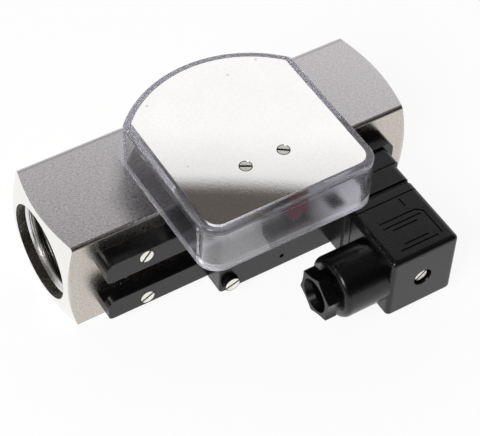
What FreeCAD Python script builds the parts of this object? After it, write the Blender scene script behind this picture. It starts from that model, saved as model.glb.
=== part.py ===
import FreeCAD, Part
import math
import os

import Sketcher

# Variable area flow meter: a square bar with a threaded port at each end, a spring-loaded float on a rod
# inside it, a magnetic follower under a clear cover on top, and a reed switch that slides on two rails in
# front and carries the cable plug.
# Frame: origin at the middle of the bar's bottom face, +X along the flow, +Z up, switch side towards -Y.

# Driving dimensions in millimetres, and angles in degrees
SIZES = {
    # square bar and its flow path
    "bar_side": 40.0,
    "bar_length": 134.0,
    "chamfer_radius": 19.0,
    "chamfer_angle": 18.0,
    "bar_edge": 1.2,
    "port_radius": 16.62,
    "port_mouth_radius": 17.15,
    "port_mouth_depth": 3.4,
    "port_depth": 19.0,
    "seat_radius": 14.6,
    "seat_depth": 10.0,
    "tube_radius": 13.0,
    "groove_radius": 15.6,
    "groove_width": 1.3,
    # clearances
    "running_gap": 0.3,
    "fit_gap": 0.05,
    # float, rod and guides
    "guide_thickness": 4.0,
    "guide_hole_radius": 3.6,
    "guide_hole_circle": 9.2,
    "guide_holes": 6,
    "rod_radius": 2.0,
    "rod_overhang": 1.5,
    "stop_tube_radius": 3.7,
    "ring_inner_radius": 13.2,
    "ring_opening": 40.0,
    "orifice_radius": 9.5,
    "orifice_width": 4.0,
    "float_travel": 14.0,
    "float_nose_radius": 4.0,
    "float_nose_gap": 3.3,
    "float_flange_radius": 11.0,
    "float_flange_width": 2.2,
    "float_waist_radius": 7.0,
    "float_waist_length": 6.5,
    "float_spigot_radius": 5.0,
    "float_thread_radius": 4.0,
    "magnet_radius": 10.0,
    "magnet_length": 8.0,
    "magnet_nut_radius": 7.5,
    "magnet_nut_height": 3.0,
    "spring_radius": 5.5,
    "spring_wire_radius": 0.5,
    "spring_turns": 7,
    "spring_wire_flats": 8,
    # clear cover with its base and dial plate
    "cover_half_width": 32.4,
    "cover_reach": 31.3,
    "cover_arc_radius": 43.4,
    "cover_arc_place": 5.0,
    "cover_height": 19.5,
    "cover_wall": 2.5,
    "cover_top": 3.4,
    "cover_front_corner": 7.5,
    "cover_back_corner": 2.0,
    "cover_edge": 1.4,
    "cover_screw_spread": 7.1,
    "cover_screw_place": 11.4,
    "cover_screw_head": 2.2,
    "cover_screw_shank": 1.0,
    "cover_screw_length": 9.0,
    "base_thickness": 2.0,
    "base_screw_spread": 22.0,
    "base_screw_back": 2.0,
    "base_screw_front": 14.0,
    "base_screw_head": 2.7,
    "base_screw_shank": 1.25,
    "base_screw_length": 7.0,
    "dial_rim": 2.7,
    "dial_thickness": 1.8,
    "pillar_radius": 2.4,
    "pillar_spigot": 1.5,
    # magnetic follower
    "pin_radius": 1.0,
    "pin_flange_radius": 2.0,
    "pin_flange_height": 1.5,
    "lever_hub_radius": 3.5,
    "lever_hub_height": 6.0,
    "lever_width": 4.0,
    "lever_thickness": 3.0,
    "lever_cup_radius": 4.5,
    "lever_cup_height": 6.0,
    "lever_magnet_radius": 3.0,
    "lever_magnet_height": 5.0,
    "flag_width": 6.5,
    "flag_height": 8.0,
    "flag_thickness": 1.0,
    "flag_gap": 1.6,
    "flag_foot": 6.0,
    "clip_radius": 2.6,
    "clip_thickness": 0.6,
    # guide rails on the front face
    "rail_length": 112.0,
    "rail_depth": 7.4,
    "rail_outer": 13.7,
    "rail_slot": 7.7,
    "rail_lip": 5.1,
    "rail_lip_depth": 3.0,
    "rail_round_top": 3.4,
    "rail_round_bottom": 1.8,
    "rail_screw_spread": 41.2,
    "rail_screw_height": 10.7,
    "rail_screw_head": 2.7,
    "rail_screw_shank": 1.25,
    "rail_screw_length": 13.0,
    # switch housing that slides on the rails
    "housing_left": 18.0,
    "housing_right": 52.7,
    "housing_top": 12.7,
    "housing_bottom": 15.1,
    "housing_depth": 7.5,
    "housing_corner": 1.6,
    "tongue_inset": 2.0,
    "reed_bore_radius": 1.6,
    "reed_bore_depth": 26.0,
    "reed_radius": 1.2,
    "reed_length": 15.0,
    "reed_lead_radius": 0.3,
    "reed_lead_length": 4.0,
    "clamp_place": 14.0,
    "clamp_drop": 10.5,
    "clamp_head_radius": 2.9,
    "clamp_head_height": 2.7,
    "clamp_shank_radius": 1.5,
    "clamp_recess_radius": 3.2,
    "clamp_recess_depth": 1.0,
    "mark_hole_place": 6.7,
    "mark_hole_drop": 10.0,
    "mark_hole_radius": 0.9,
    "mark_hole_depth": 3.0,
    # square cable plug on the housing
    "plug_place": 38.5,
    "plug_drop": 1.6,
    "plug_base_rise": 1.1,
    "plug_base_side": 26.0,
    "plug_base_depth": 7.4,
    "plug_corner": 2.0,
    "gasket_side": 26.2,
    "gasket_window": 16.0,
    "gasket_thickness": 1.9,
    "gasket_round": 0.6,
    "cap_width": 26.4,
    "cap_height": 27.4,
    "cap_depth": 27.5,
    "cap_wall": 2.2,
    "cap_corner": 2.0,
    "cap_edge": 1.7,
    "cap_groove_place": 2.8,
    "cap_groove_width": 0.5,
    "cap_groove_depth": 0.4,
    "cap_boss_radius": 5.4,
    "cap_recess_radius": 3.5,
    "cap_recess_depth": 4.0,
    "cap_screw_head": 2.5,
    "cap_screw_head_height": 3.0,
    "cap_screw_shank": 1.25,
    "cap_screw_grip": 6.0,
    "engraving_width": 0.75,
    "engraving_depth": 0.4,
    "engraving_middle": 9.3,
    "engraving_long": 7.4,
    "engraving_short": 4.8,
    "engraving_outer": 5.2,
    "engraving_inner": 3.3,
    "engraving_frame": 7.5,
    "engraving_side": 9.0,
    "engraving_corner": 2.0,
    "engraving_tick": 3.6,
    "insert_side": 21.2,
    "insert_depth": 9.5,
    "blade_place": 6.0,
    "blade_width": 4.5,
    "blade_thickness": 0.8,
    "blade_root": 4.0,
    "blade_reach": 10.0,
    # cable gland on the cap's left face
    "gland_back": 11.5,
    "collar_radius": 11.0,
    "collar_reach": 16.5,
    "collar_round": 2.2,
    "gland_bore_radius": 7.7,
    "gland_bore_depth": 15.0,
    "gland_throat_radius": 5.5,
    "seal_inner_radius": 4.0,
    "seal_length": 6.0,
    "washer_thickness": 1.0,
    "washer_inner_radius": 4.5,
    "nut_radius": 9.0,
    "nut_reach": 5.8,
    "nut_hollow": 0.45,
    "nut_gap": 1.4,
    "nut_neck_radius": 6.8,
    "nut_chamfer_radius": 8.7,
    "nut_chamfer_angle": 30.0,
    "nut_hole_radius": 5.0,
    "nut_mouth_radius": 6.2,
    # slots across the screw heads
    "slot_width": 0.8,
    "slot_depth": 0.7,
}

doc = FreeCAD.newDocument("flow_meter")
sheet = doc.addObject("Spreadsheet::Sheet", "dims")
for row, (alias, number) in enumerate(SIZES.items(), start=1):
    sheet.set(f"A{row}", alias)
    sheet.set(f"B{row}", str(number))
    sheet.setAlias(f"B{row}", alias)
doc.recompute()


class Size:
    """A length worked out from named cells: its number, and the expression that ties it to the sheet."""

    def __init__(self, number, text):
        self.number = number
        self.text = text

    def __add__(self, other):
        other = as_size(other)
        return Size(self.number + other.number, f"({self.text} + {other.text})")

    def __sub__(self, other):
        other = as_size(other)
        return Size(self.number - other.number, f"({self.text} - {other.text})")

    def __mul__(self, other):
        other = as_size(other)
        return Size(self.number * other.number, f"({self.text} * {other.text})")

    def __truediv__(self, other):
        other = as_size(other)
        return Size(self.number / other.number, f"({self.text} / {other.text})")

    def __neg__(self):
        return Size(-self.number, f"(0 - {self.text})")


def as_size(value):
    """A Size as it is, and a plain number as a Size."""
    if isinstance(value, Size):
        return value
    return Size(float(value), str(float(value)))


def square_root(size):
    return Size(math.sqrt(size.number), f"sqrt({size.text})")


def tangent(angle):
    return Size(math.tan(math.radians(angle.number)), f"tan({angle.text})")


def arc_sine(size):
    """The angle in degrees whose sine is this ratio."""
    return Size(math.degrees(math.asin(size.number)), f"asin({size.text})")


class Cells:
    """Each named cell of the sheet as a Size."""


d = Cells()
for alias in SIZES:
    setattr(d, alias, Size(float(sheet.get(alias)), f"dims.{alias}"))

ZERO = as_size(0)
UP = FreeCAD.Vector(0, 0, 1)
UPRIGHT = FreeCAD.Rotation()
FACING_FRONT = FreeCAD.Rotation(FreeCAD.Vector(1, 0, 0), 90)

# Shared places in the part's frame
half_side = d.bar_side / 2
half_length = d.bar_length / 2
axis_height = half_side
bar_top = d.bar_side
front_face = -half_side
thread_end = half_length - d.port_depth
guide_seat = thread_end - d.seat_depth
guide_outside = guide_seat + d.guide_thickness
rail_front = front_face - d.rail_depth
housing_back = rail_front - d.running_gap
housing_front = housing_back - d.housing_depth
plug_base_front = housing_front - d.plug_base_depth
gasket_front = plug_base_front - d.gasket_thickness
cap_front = gasket_front - d.cap_depth
plug_height = axis_height - d.plug_drop
base_top = bar_top + d.base_thickness
cover_under = bar_top + d.cover_height - d.cover_top
dial_under = bar_top + d.cover_height - d.dial_thickness
pivot_place = front_face - d.cover_screw_place
lever_reach = -pivot_place
lever_height = base_top + d.pin_flange_height + d.running_gap
lever_turn = arc_sine(d.float_travel / 2 / lever_reach)
magnet_start = -(d.float_travel + d.magnet_length) / 2
float_stop = magnet_start - d.float_waist_length - d.float_flange_width
orifice_face = float_stop - d.running_gap
float_nose = d.float_nose_gap - guide_seat
flag_reach = d.cover_reach - d.cover_wall - d.cover_screw_place - d.flag_gap

pieces = []


def place(item, x=ZERO, y=ZERO, z=ZERO, rotation=UPRIGHT):
    """Put an object at a point tied to the sheet, turned by a fixed rotation."""
    item.Placement = FreeCAD.Placement(FreeCAD.Vector(x.number, y.number, z.number), rotation)
    for axis, size in zip("xyz", (x, y, z)):
        item.setExpression(f"Placement.Base.{axis}", size.text)


def bind(item, **sizes):
    """Tie properties of an object to the sheet."""
    for name, size in sizes.items():
        item.setExpression(name, size.text)


def new_body(label, x=ZERO, y=ZERO, z=ZERO, rotation=UPRIGHT):
    body = doc.addObject("PartDesign::Body", label)
    body.Label = label
    place(body, x, y, z, rotation)
    return body


def keep(item, label):
    """List an object as a finished piece of the meter."""
    item.Label = label
    pieces.append(item)
    return item


def origin_item(body, role):
    return next(item for item in body.Origin.OriginFeatures if item.Role == role)


def new_sketch(body, plane, shift=ZERO):
    """A sketch on one of the body's own planes, shifted along that plane's normal."""
    sketch = body.newObject("Sketcher::SketchObject", f"{body.Name}_sketch")
    sketch.AttachmentSupport = (origin_item(body, plane), "")
    sketch.MapMode = "FlatFace"
    sketch.AttachmentOffset = FreeCAD.Placement(UP * shift.number, FreeCAD.Rotation())
    sketch.setExpression("AttachmentOffset.Base.z", shift.text)
    return sketch


def pin_point(sketch, line, end, x, y):
    """Hold one point of the sketch at x and y, each tied to the sheet."""
    for kind, size, axis in (("DistanceX", as_size(x), -2), ("DistanceY", as_size(y), -1)):
        if size.number == 0:
            sketch.addConstraint(Sketcher.Constraint("PointOnObject", line, end, axis))
        else:
            rule = Sketcher.Constraint(kind, -1, 1, line, end, size.number)
            sketch.setExpression(f"Constraints[{sketch.addConstraint(rule)}]", size.text)


def draw_outline(sketch, corners):
    """A closed outline of straight lines through the corners."""
    points = [FreeCAD.Vector(as_size(x).number, as_size(y).number, 0) for x, y in corners]
    lines = [
        sketch.addGeometry(Part.LineSegment(start, end))
        for start, end in zip(points, points[1:] + points[:1])
    ]
    for line, following in zip(lines, lines[1:] + lines[:1]):
        sketch.addConstraint(Sketcher.Constraint("Coincident", line, 2, following, 1))
    for line, (x, y) in zip(lines, corners):
        pin_point(sketch, line, 1, x, y)


def draw_rectangle(sketch, left, right, low, high):
    draw_outline(sketch, [(left, low), (right, low), (right, high), (left, high)])


def draw_circle(sketch, x, y, radius):
    centre = FreeCAD.Vector(as_size(x).number, as_size(y).number, 0)
    circle = sketch.addGeometry(Part.Circle(centre, UP, radius.number))
    pin_point(sketch, circle, 3, x, y)
    rule = sketch.addConstraint(Sketcher.Constraint("Radius", circle, radius.number))
    sketch.setExpression(f"Constraints[{rule}]", radius.text)


def draw_hollow_outline(sketch, corners, radius):
    """A closed outline of arcs of one radius that bend inwards, through corners in anticlockwise order."""
    points = [FreeCAD.Vector(x.number, y.number, 0) for x, y in corners]
    arcs = []
    for start, end in zip(points, points[1:] + points[:1]):
        half_chord = (end - start) / 2
        outward = FreeCAD.Vector(half_chord.y, -half_chord.x, 0).normalize()
        centre = start + half_chord + outward * math.sqrt(radius.number**2 - half_chord.Length**2)
        angles = [math.atan2(point.y - centre.y, point.x - centre.x) for point in (end, start)]
        arcs.append(sketch.addGeometry(Part.ArcOfCircle(Part.Circle(centre, UP, radius.number), *angles)))
    for arc, following in zip(arcs, arcs[1:] + arcs[:1]):
        sketch.addConstraint(Sketcher.Constraint("Coincident", arc, 1, following, 2))
    for arc, (x, y) in zip(arcs, corners):
        pin_point(sketch, arc, 2, x, y)
        rule = sketch.addConstraint(Sketcher.Constraint("Radius", arc, radius.number))
        sketch.setExpression(f"Constraints[{rule}]", radius.text)


def add_feature(body, kind, sketch, length=None, reverse=False):
    """A feature of a body from a sketch; with no length, a Pocket goes right through both ways."""
    feature = body.newObject(f"PartDesign::{kind}", f"{body.Name}_{kind.lower()}")
    feature.Profile = sketch
    feature.Reversed = reverse
    if length is None:
        feature.Type = "ThroughAll"
        feature.Midplane = True
    else:
        feature.setExpression("Length", length.text)
    return feature


def turn_profile(body, kind, corners, axis="H_Axis", plane="XZ_Plane", angle=as_size(360)):
    """A Revolution or Groove of a profile of straight lines about an axis of its sketch."""
    sketch = new_sketch(body, plane)
    draw_outline(sketch, corners)
    feature = body.newObject(f"PartDesign::{kind}", f"{body.Name}_{kind.lower()}")
    feature.Profile = sketch
    feature.ReferenceAxis = (sketch, [axis])
    feature.setExpression("Angle", angle.text)
    return feature


def soften_edges(body, kind, size, test):
    """A Fillet or Chamfer of the body's edges whose bounding box passes the test."""
    doc.recompute()
    base = body.Tip
    names = [f"Edge{i}" for i, edge in enumerate(base.Shape.Edges, start=1) if test(edge)]
    feature = body.newObject(f"PartDesign::{kind}", f"{body.Name}_{kind.lower()}")
    feature.Base = (base, names)
    feature.setExpression("Radius" if kind == "Fillet" else "Size", size.text)
    return feature


def spans(edge, axis):
    """How far an edge reaches along one axis."""
    box = edge.BoundBox
    return {"x": box.XLength, "y": box.YLength, "z": box.ZLength}[axis]


def runs_along(edge, axis):
    """Whether an edge is straight and parallel to an axis."""
    others = [other for other in "xyz" if other != axis]
    return spans(edge, axis) > 1e-6 and all(spans(edge, other) < 1e-6 for other in others)


def near(first, second):
    return abs(first - as_size(second).number) < 1e-4


def add_screw(label, head, shank, length, point, rotation, slot_turn, head_height=None):
    """A slotted screw with its head's top at a point; with no head height its head is a 45 degree cone."""
    turned = rotation.multiply(FreeCAD.Rotation(UP, slot_turn))
    body = new_body(label, *point, turned)
    if head_height is None:
        under_head = [(shank, shank - head)]
    else:
        under_head = [(head, -head_height), (shank, -head_height)]
    profile = [(ZERO, ZERO), (head, ZERO), *under_head, (shank, -length), (ZERO, -length)]
    turn_profile(body, "Revolution", profile, "V_Axis")
    slot = new_sketch(body, "XY_Plane")
    draw_rectangle(slot, -head * 1.2, head * 1.2, -d.slot_width / 2, d.slot_width / 2)
    add_feature(body, "Pocket", slot, d.slot_depth)
    return body


def group(label, members):
    """Several like solids as one piece."""
    compound = doc.addObject("Part::Compound", label)
    compound.Links = members
    return keep(compound, label)


def make_meter_body():
    """The square bar: turned chamfers on its ends, a stepped flow path through it and tapped fixing holes."""
    body = new_body("meter_body", z=axis_height)
    section = new_sketch(body, "YZ_Plane", -half_length)
    draw_rectangle(section, -half_side, half_side, -half_side, half_side)
    add_feature(body, "Pad", section, d.bar_length)
    soften_edges(body, "Fillet", d.bar_edge, lambda edge: runs_along(edge, "x"))
    rim = half_side * math.sqrt(2) + 1
    depth = (rim - d.chamfer_radius) * tangent(d.chamfer_angle)
    for side in (-1, 1):
        end = half_length * side
        corners = [(end, d.chamfer_radius), (end, rim), (end - depth * side, rim)]
        turn_profile(body, "Groove", corners)
    mouth_end = half_length - d.port_mouth_depth
    thread_start = mouth_end - d.port_mouth_radius + d.port_radius
    groove_end = guide_outside + d.groove_width
    outlet_half = [
        (half_length, ZERO),
        (half_length, d.port_mouth_radius),
        (mouth_end, d.port_mouth_radius),
        (thread_start, d.port_radius),
        (thread_end, d.port_radius),
        (thread_end, d.seat_radius),
        (groove_end, d.seat_radius),
        (groove_end, d.groove_radius),
        (guide_outside, d.groove_radius),
        (guide_outside, d.seat_radius),
        (guide_seat, d.seat_radius),
        (guide_seat, d.tube_radius),
    ]
    profile = [(-x, r) for x, r in outlet_half] + outlet_half[::-1]
    turn_profile(body, "Groove", profile)
    rail_holes = new_sketch(body, "XZ_Plane", half_side)
    for x in (-d.rail_screw_spread, d.rail_screw_spread):
        for z in (-d.rail_screw_height, d.rail_screw_height):
            draw_circle(rail_holes, x, z, d.rail_screw_shank + d.fit_gap)
    add_feature(body, "Pocket", rail_holes, d.rail_screw_length - d.rail_depth + d.running_gap)
    base_holes = new_sketch(body, "XY_Plane", half_side)
    for x, y in base_screw_places():
        draw_circle(base_holes, x, y, d.base_screw_shank + d.fit_gap)
    add_feature(body, "Pocket", base_holes, d.base_screw_length - d.base_thickness + d.running_gap)
    keep(body, "meter_body")


def base_screw_places():
    """Where the screws of the indicator base go into the bar's top face."""
    spread = d.base_screw_spread
    return [(x, y) for x in (-spread, spread) for y in (-d.base_screw_front, d.base_screw_back)]


def make_guides():
    """Two drilled guide discs on the bore's shoulders; the outlet one has a tube that stops the float."""
    for label, start in (("inlet_guide", -guide_outside), ("outlet_guide", guide_seat)):
        body = new_body(label, z=axis_height)
        disc = new_sketch(body, "YZ_Plane", start)
        draw_circle(disc, 0, 0, d.seat_radius - d.fit_gap)
        add_feature(body, "Pad", disc, d.guide_thickness)
        if label == "outlet_guide":
            stop = d.float_travel + d.running_gap
            tube = new_sketch(body, "YZ_Plane", stop)
            draw_circle(tube, 0, 0, d.stop_tube_radius)
            add_feature(body, "Pad", tube, guide_seat - stop)
        rod_hole = new_sketch(body, "YZ_Plane")
        draw_circle(rod_hole, 0, 0, d.rod_radius + d.fit_gap)
        add_feature(body, "Pocket", rod_hole)
        flow_hole = new_sketch(body, "YZ_Plane")
        draw_circle(flow_hole, d.guide_hole_circle, 0, d.guide_hole_radius)
        drilled = add_feature(body, "Pocket", flow_hole)
        pattern = body.newObject("PartDesign::PolarPattern", f"{label}_pattern")
        pattern.Originals = [drilled]
        pattern.Axis = (origin_item(body, "X_Axis"), [""])
        pattern.Angle = 360
        pattern.setExpression("Occurrences", d.guide_holes.text)
        body.Tip = pattern
        keep(body, label)


def make_retaining_rings():
    """Open spring rings in the bar's grooves, which hold the guide discs on their shoulders."""
    inside = guide_outside + d.fit_gap
    outside = guide_outside + d.groove_width - d.fit_gap
    outer = d.groove_radius - d.fit_gap
    ring = new_body("outlet_ring", z=axis_height)
    profile = [
        (inside, d.ring_inner_radius),
        (outside, d.ring_inner_radius),
        (outside, outer),
        (inside, outer),
    ]
    turn_profile(ring, "Revolution", profile, angle=as_size(360) - d.ring_opening)
    other = doc.addObject("Part::Mirroring", "inlet_ring")
    other.Source = ring
    other.Normal = FreeCAD.Vector(1, 0, 0)
    group("retaining_rings", [ring, other])


def make_guide_rod():
    """The ground rod that carries the float between the two guides."""
    rod = new_body("guide_rod", z=axis_height)
    end = guide_outside + d.rod_overhang
    bevel = d.rod_radius / 4
    profile = [
        (-end, ZERO),
        (-end, d.rod_radius - bevel),
        (bevel - end, d.rod_radius),
        (end - bevel, d.rod_radius),
        (end, d.rod_radius - bevel),
        (end, ZERO),
    ]
    turn_profile(rod, "Revolution", profile)
    keep(rod, "guide_rod")


def make_orifice_ring():
    """The sharp-edged ring in the bore that the cone closes."""
    ring = new_body("orifice_ring", z=axis_height)
    face = orifice_face
    profile = [
        (face - d.orifice_width, d.tube_radius - d.fit_gap),
        (face - d.orifice_width, d.orifice_radius + d.orifice_width / 4),
        (face - d.orifice_width / 2, d.orifice_radius),
        (face, d.orifice_radius),
        (face, d.tube_radius - d.fit_gap),
    ]
    turn_profile(ring, "Revolution", profile)
    keep(ring, "orifice_ring")


def make_float():
    """The float: a metering cone with a stop flange, its ring magnet and the nut that holds the magnet."""
    cone = new_body("float_cone", z=axis_height)
    bore = d.rod_radius + d.fit_gap
    magnet_end = magnet_start + d.magnet_length
    nut_end = magnet_end + d.magnet_nut_height
    profile = [
        (float_nose, bore),
        (float_nose, d.float_nose_radius),
        (float_stop, d.orifice_radius - d.running_gap),
        (float_stop, d.float_flange_radius),
        (magnet_start - d.float_waist_length, d.float_flange_radius),
        (magnet_start - d.float_waist_length, d.float_waist_radius),
        (magnet_start, d.float_waist_radius),
        (magnet_start, d.float_spigot_radius),
        (magnet_end, d.float_spigot_radius),
        (magnet_end, d.float_thread_radius),
        (nut_end, d.float_thread_radius),
        (nut_end, bore),
    ]
    turn_profile(cone, "Revolution", profile)
    keep(cone, "float_cone")
    magnet = new_body("float_magnet", z=axis_height)
    inner = d.float_spigot_radius + d.fit_gap
    profile = [
        (magnet_start, inner),
        (magnet_end, inner),
        (magnet_end, d.magnet_radius),
        (magnet_start, d.magnet_radius),
    ]
    turn_profile(magnet, "Revolution", profile)
    keep(magnet, "float_magnet")
    along_flow = FreeCAD.Rotation(FreeCAD.Vector(0, 1, 0), 90)
    prism = doc.addObject("Part::Prism", "magnet_nut_prism")
    prism.Polygon = 6
    bind(prism, Circumradius=d.magnet_nut_radius, Height=d.magnet_nut_height)
    place(prism, magnet_end, ZERO, axis_height, along_flow)
    hole = doc.addObject("Part::Cylinder", "magnet_nut_hole")
    bind(hole, Radius=d.float_thread_radius + d.fit_gap, Height=d.magnet_nut_height)
    place(hole, magnet_end, ZERO, axis_height, along_flow)
    nut = doc.addObject("Part::Cut", "magnet_nut")
    nut.Base = prism
    nut.Tool = hole
    keep(nut, "magnet_nut")


def make_return_spring():
    """The wire spring between the float's nut and the outlet guide; a few flats stand for its round wire."""
    along_flow = FreeCAD.Rotation(FreeCAD.Vector(0, 1, 0), 90)
    nut_end = (d.magnet_length - d.float_travel) / 2 + d.magnet_nut_height
    start = nut_end + d.running_gap + d.spring_wire_radius * 2
    end = guide_seat - d.spring_wire_radius * 2
    helix = doc.addObject("Part::Helix", "spring_path")
    bind(helix, Radius=d.spring_radius, Height=end - start, Pitch=(end - start) / d.spring_turns)
    place(helix, start, ZERO, axis_height, along_flow)
    wire = doc.addObject("Part::RegularPolygon", "spring_wire")
    bind(wire, Circumradius=d.spring_wire_radius, Polygon=d.spring_wire_flats)
    across_wire = FreeCAD.Rotation(FreeCAD.Vector(1, 0, 0), 90)
    place(wire, start, ZERO, axis_height - d.spring_radius, across_wire)
    spring = doc.addObject("Part::Sweep", "return_spring")
    spring.Sections = [wire]
    spring.Spine = (helix, [])
    spring.Solid = True
    spring.Frenet = True
    keep(spring, "return_spring")


def draw_cover_outline(sketch, inset):
    """The cover's outline, set in by a wall: straight front and sides, and one arc across the back."""
    side = d.cover_half_width - inset
    front = front_face - d.cover_reach + inset
    centre = front_face - d.cover_arc_place
    radius = d.cover_arc_radius - inset
    back = centre + square_root(radius * radius - side * side)
    corners = [(-side, back), (-side, front), (side, front), (side, back)]
    points = [FreeCAD.Vector(x.number, y.number, 0) for x, y in corners]
    lines = [sketch.addGeometry(Part.LineSegment(*ends)) for ends in zip(points, points[1:])]
    middle = FreeCAD.Vector(0, centre.number + radius.number, 0)
    arc = sketch.addGeometry(Part.Arc(points[3], middle, points[0]))
    for line, following in zip(lines, lines[1:]):
        sketch.addConstraint(Sketcher.Constraint("Coincident", line, 2, following, 1))
    sketch.addConstraint(Sketcher.Constraint("Coincident", lines[2], 2, arc, 1))
    sketch.addConstraint(Sketcher.Constraint("Coincident", arc, 2, lines[0], 1))
    pin_point(sketch, lines[1], 1, *corners[1])
    pin_point(sketch, lines[1], 2, *corners[2])
    sketch.addConstraint(Sketcher.Constraint("Vertical", lines[0]))
    sketch.addConstraint(Sketcher.Constraint("Vertical", lines[2]))
    pin_point(sketch, arc, 3, ZERO, centre)
    rule = sketch.addConstraint(Sketcher.Constraint("Radius", arc, radius.number))
    sketch.setExpression(f"Constraints[{rule}]", radius.text)


def round_front_corners(body, inset):
    """Round the two upright edges at the front of an outline that is set in by a wall."""
    front = front_face - d.cover_reach + inset
    soften_edges(
        body,
        "Fillet",
        d.cover_front_corner - inset,
        lambda edge: runs_along(edge, "z") and near(edge.BoundBox.YMin, front),
    )


def cover_screw_places():
    """Where the two cover screws and their pillars stand, one each side of the pivot."""
    return [(x, pivot_place) for x in (-d.cover_screw_spread, d.cover_screw_spread)]


def make_indicator_base():
    """The flat base plate under the cover, screwed to the bar, with seats for the pivot and the pillars."""
    body = new_body("indicator_base", z=bar_top)
    inset = d.cover_wall + d.fit_gap * 2
    outline = new_sketch(body, "XY_Plane")
    draw_cover_outline(outline, inset)
    add_feature(body, "Pad", outline, d.base_thickness)
    round_front_corners(body, inset)
    holes = new_sketch(body, "XY_Plane")
    draw_circle(holes, ZERO, pivot_place, d.pin_radius + d.fit_gap)
    for x, y in cover_screw_places():
        draw_circle(holes, x, y, d.pillar_spigot + d.fit_gap)
    add_feature(body, "Pocket", holes)
    screw_holes = new_sketch(body, "XY_Plane")
    clearance = d.base_screw_shank + d.fit_gap * 2
    for x, y in base_screw_places():
        draw_circle(screw_holes, x, y, clearance)
    add_feature(body, "Pocket", screw_holes)
    soften_edges(
        body,
        "Chamfer",
        d.base_screw_head - d.base_screw_shank,
        lambda edge: near(spans(edge, "x"), clearance * 2) and near(edge.BoundBox.ZMin, d.base_thickness),
    )
    keep(body, "indicator_base")
    screws = [
        add_screw(
            "base_screw",
            d.base_screw_head,
            d.base_screw_shank,
            d.base_screw_length,
            (x, y, base_top),
            UPRIGHT,
            slot_turn,
        )
        for (x, y), slot_turn in zip(base_screw_places(), (20, 75, 130, 50))
    ]
    group("base_screws", screws)


def make_pillars():
    """Two round pillars on the base that carry the cover and take its screws."""
    members = []
    length = cover_under - base_top
    hole = d.cover_screw_shank + d.fit_gap
    hole_end = cover_under - d.cover_screw_length - bar_top
    for x, y in cover_screw_places():
        pillar = new_body("pillar", x, y, bar_top)
        top = d.base_thickness + length
        profile = [
            (ZERO, ZERO),
            (d.pillar_spigot, ZERO),
            (d.pillar_spigot, d.base_thickness),
            (d.pillar_radius, d.base_thickness),
            (d.pillar_radius, top),
            (hole, top),
            (hole, hole_end),
            (ZERO, hole_end),
        ]
        turn_profile(pillar, "Revolution", profile, "V_Axis")
        members.append(pillar)
    group("pillars", members)


def make_dial_plate():
    """The bare metal plate in the recess of the cover's top, countersunk for the cover screws."""
    body = new_body("dial_plate", z=dial_under)
    inset = d.dial_rim + d.fit_gap * 2
    outline = new_sketch(body, "XY_Plane")
    draw_cover_outline(outline, inset)
    add_feature(body, "Pad", outline, d.dial_thickness)
    round_front_corners(body, inset)
    holes = new_sketch(body, "XY_Plane")
    clearance = d.cover_screw_shank + d.fit_gap * 2
    for x, y in cover_screw_places():
        draw_circle(holes, x, y, clearance)
    add_feature(body, "Pocket", holes)
    soften_edges(
        body,
        "Chamfer",
        d.cover_screw_head - d.cover_screw_shank,
        lambda edge: near(spans(edge, "x"), clearance * 2) and near(edge.BoundBox.ZMin, d.dial_thickness),
    )
    keep(body, "dial_plate")


def make_clear_cover():
    """The moulded clear cover: a deep shell open below, with a recess for the dial plate and two screws."""
    body = new_body("clear_cover", z=bar_top)
    outline = new_sketch(body, "XY_Plane", d.fit_gap)
    wall_height = d.cover_height - d.fit_gap
    draw_cover_outline(outline, ZERO)
    add_feature(body, "Pad", outline, wall_height)
    round_front_corners(body, ZERO)
    hollow = new_sketch(body, "XY_Plane")
    draw_cover_outline(hollow, d.cover_wall)
    add_feature(body, "Pocket", hollow, d.cover_height - d.cover_top, reverse=True)
    round_front_corners(body, d.cover_wall)
    recess = new_sketch(body, "XY_Plane", d.cover_height)
    draw_cover_outline(recess, d.dial_rim)
    add_feature(body, "Pocket", recess, d.dial_thickness + d.fit_gap)
    round_front_corners(body, d.dial_rim)
    side = d.cover_half_width
    front = front_face - d.cover_reach
    back = front_face - d.cover_arc_place + d.cover_arc_radius
    soften_edges(
        body,
        "Fillet",
        d.cover_back_corner,
        lambda edge: runs_along(edge, "z")
        and near(abs(edge.BoundBox.XMin), side)
        and near(spans(edge, "z"), wall_height)
        and edge.BoundBox.YMin > front_face.number,
    )
    soften_edges(
        body,
        "Fillet",
        d.cover_edge,
        lambda edge: near(edge.BoundBox.ZMin, d.cover_height)
        and (
            near(max(-edge.BoundBox.XMin, edge.BoundBox.XMax), side)
            or near(edge.BoundBox.YMin, front)
            or near(edge.BoundBox.YMax, back)
        ),
    )
    screw_holes = new_sketch(body, "XY_Plane", d.cover_height)
    for x, y in cover_screw_places():
        draw_circle(screw_holes, x, y, d.cover_screw_shank + d.running_gap)
    add_feature(body, "Pocket", screw_holes, d.cover_top)
    keep(body, "clear_cover")
    screws = [
        add_screw(
            "cover_screw",
            d.cover_screw_head,
            d.cover_screw_shank,
            d.cover_screw_length,
            (x, y, bar_top + d.cover_height),
            UPRIGHT,
            slot_turn,
        )
        for (x, y), slot_turn in zip(cover_screw_places(), (-30, -36))
    ]
    group("cover_screws", screws)


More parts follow.
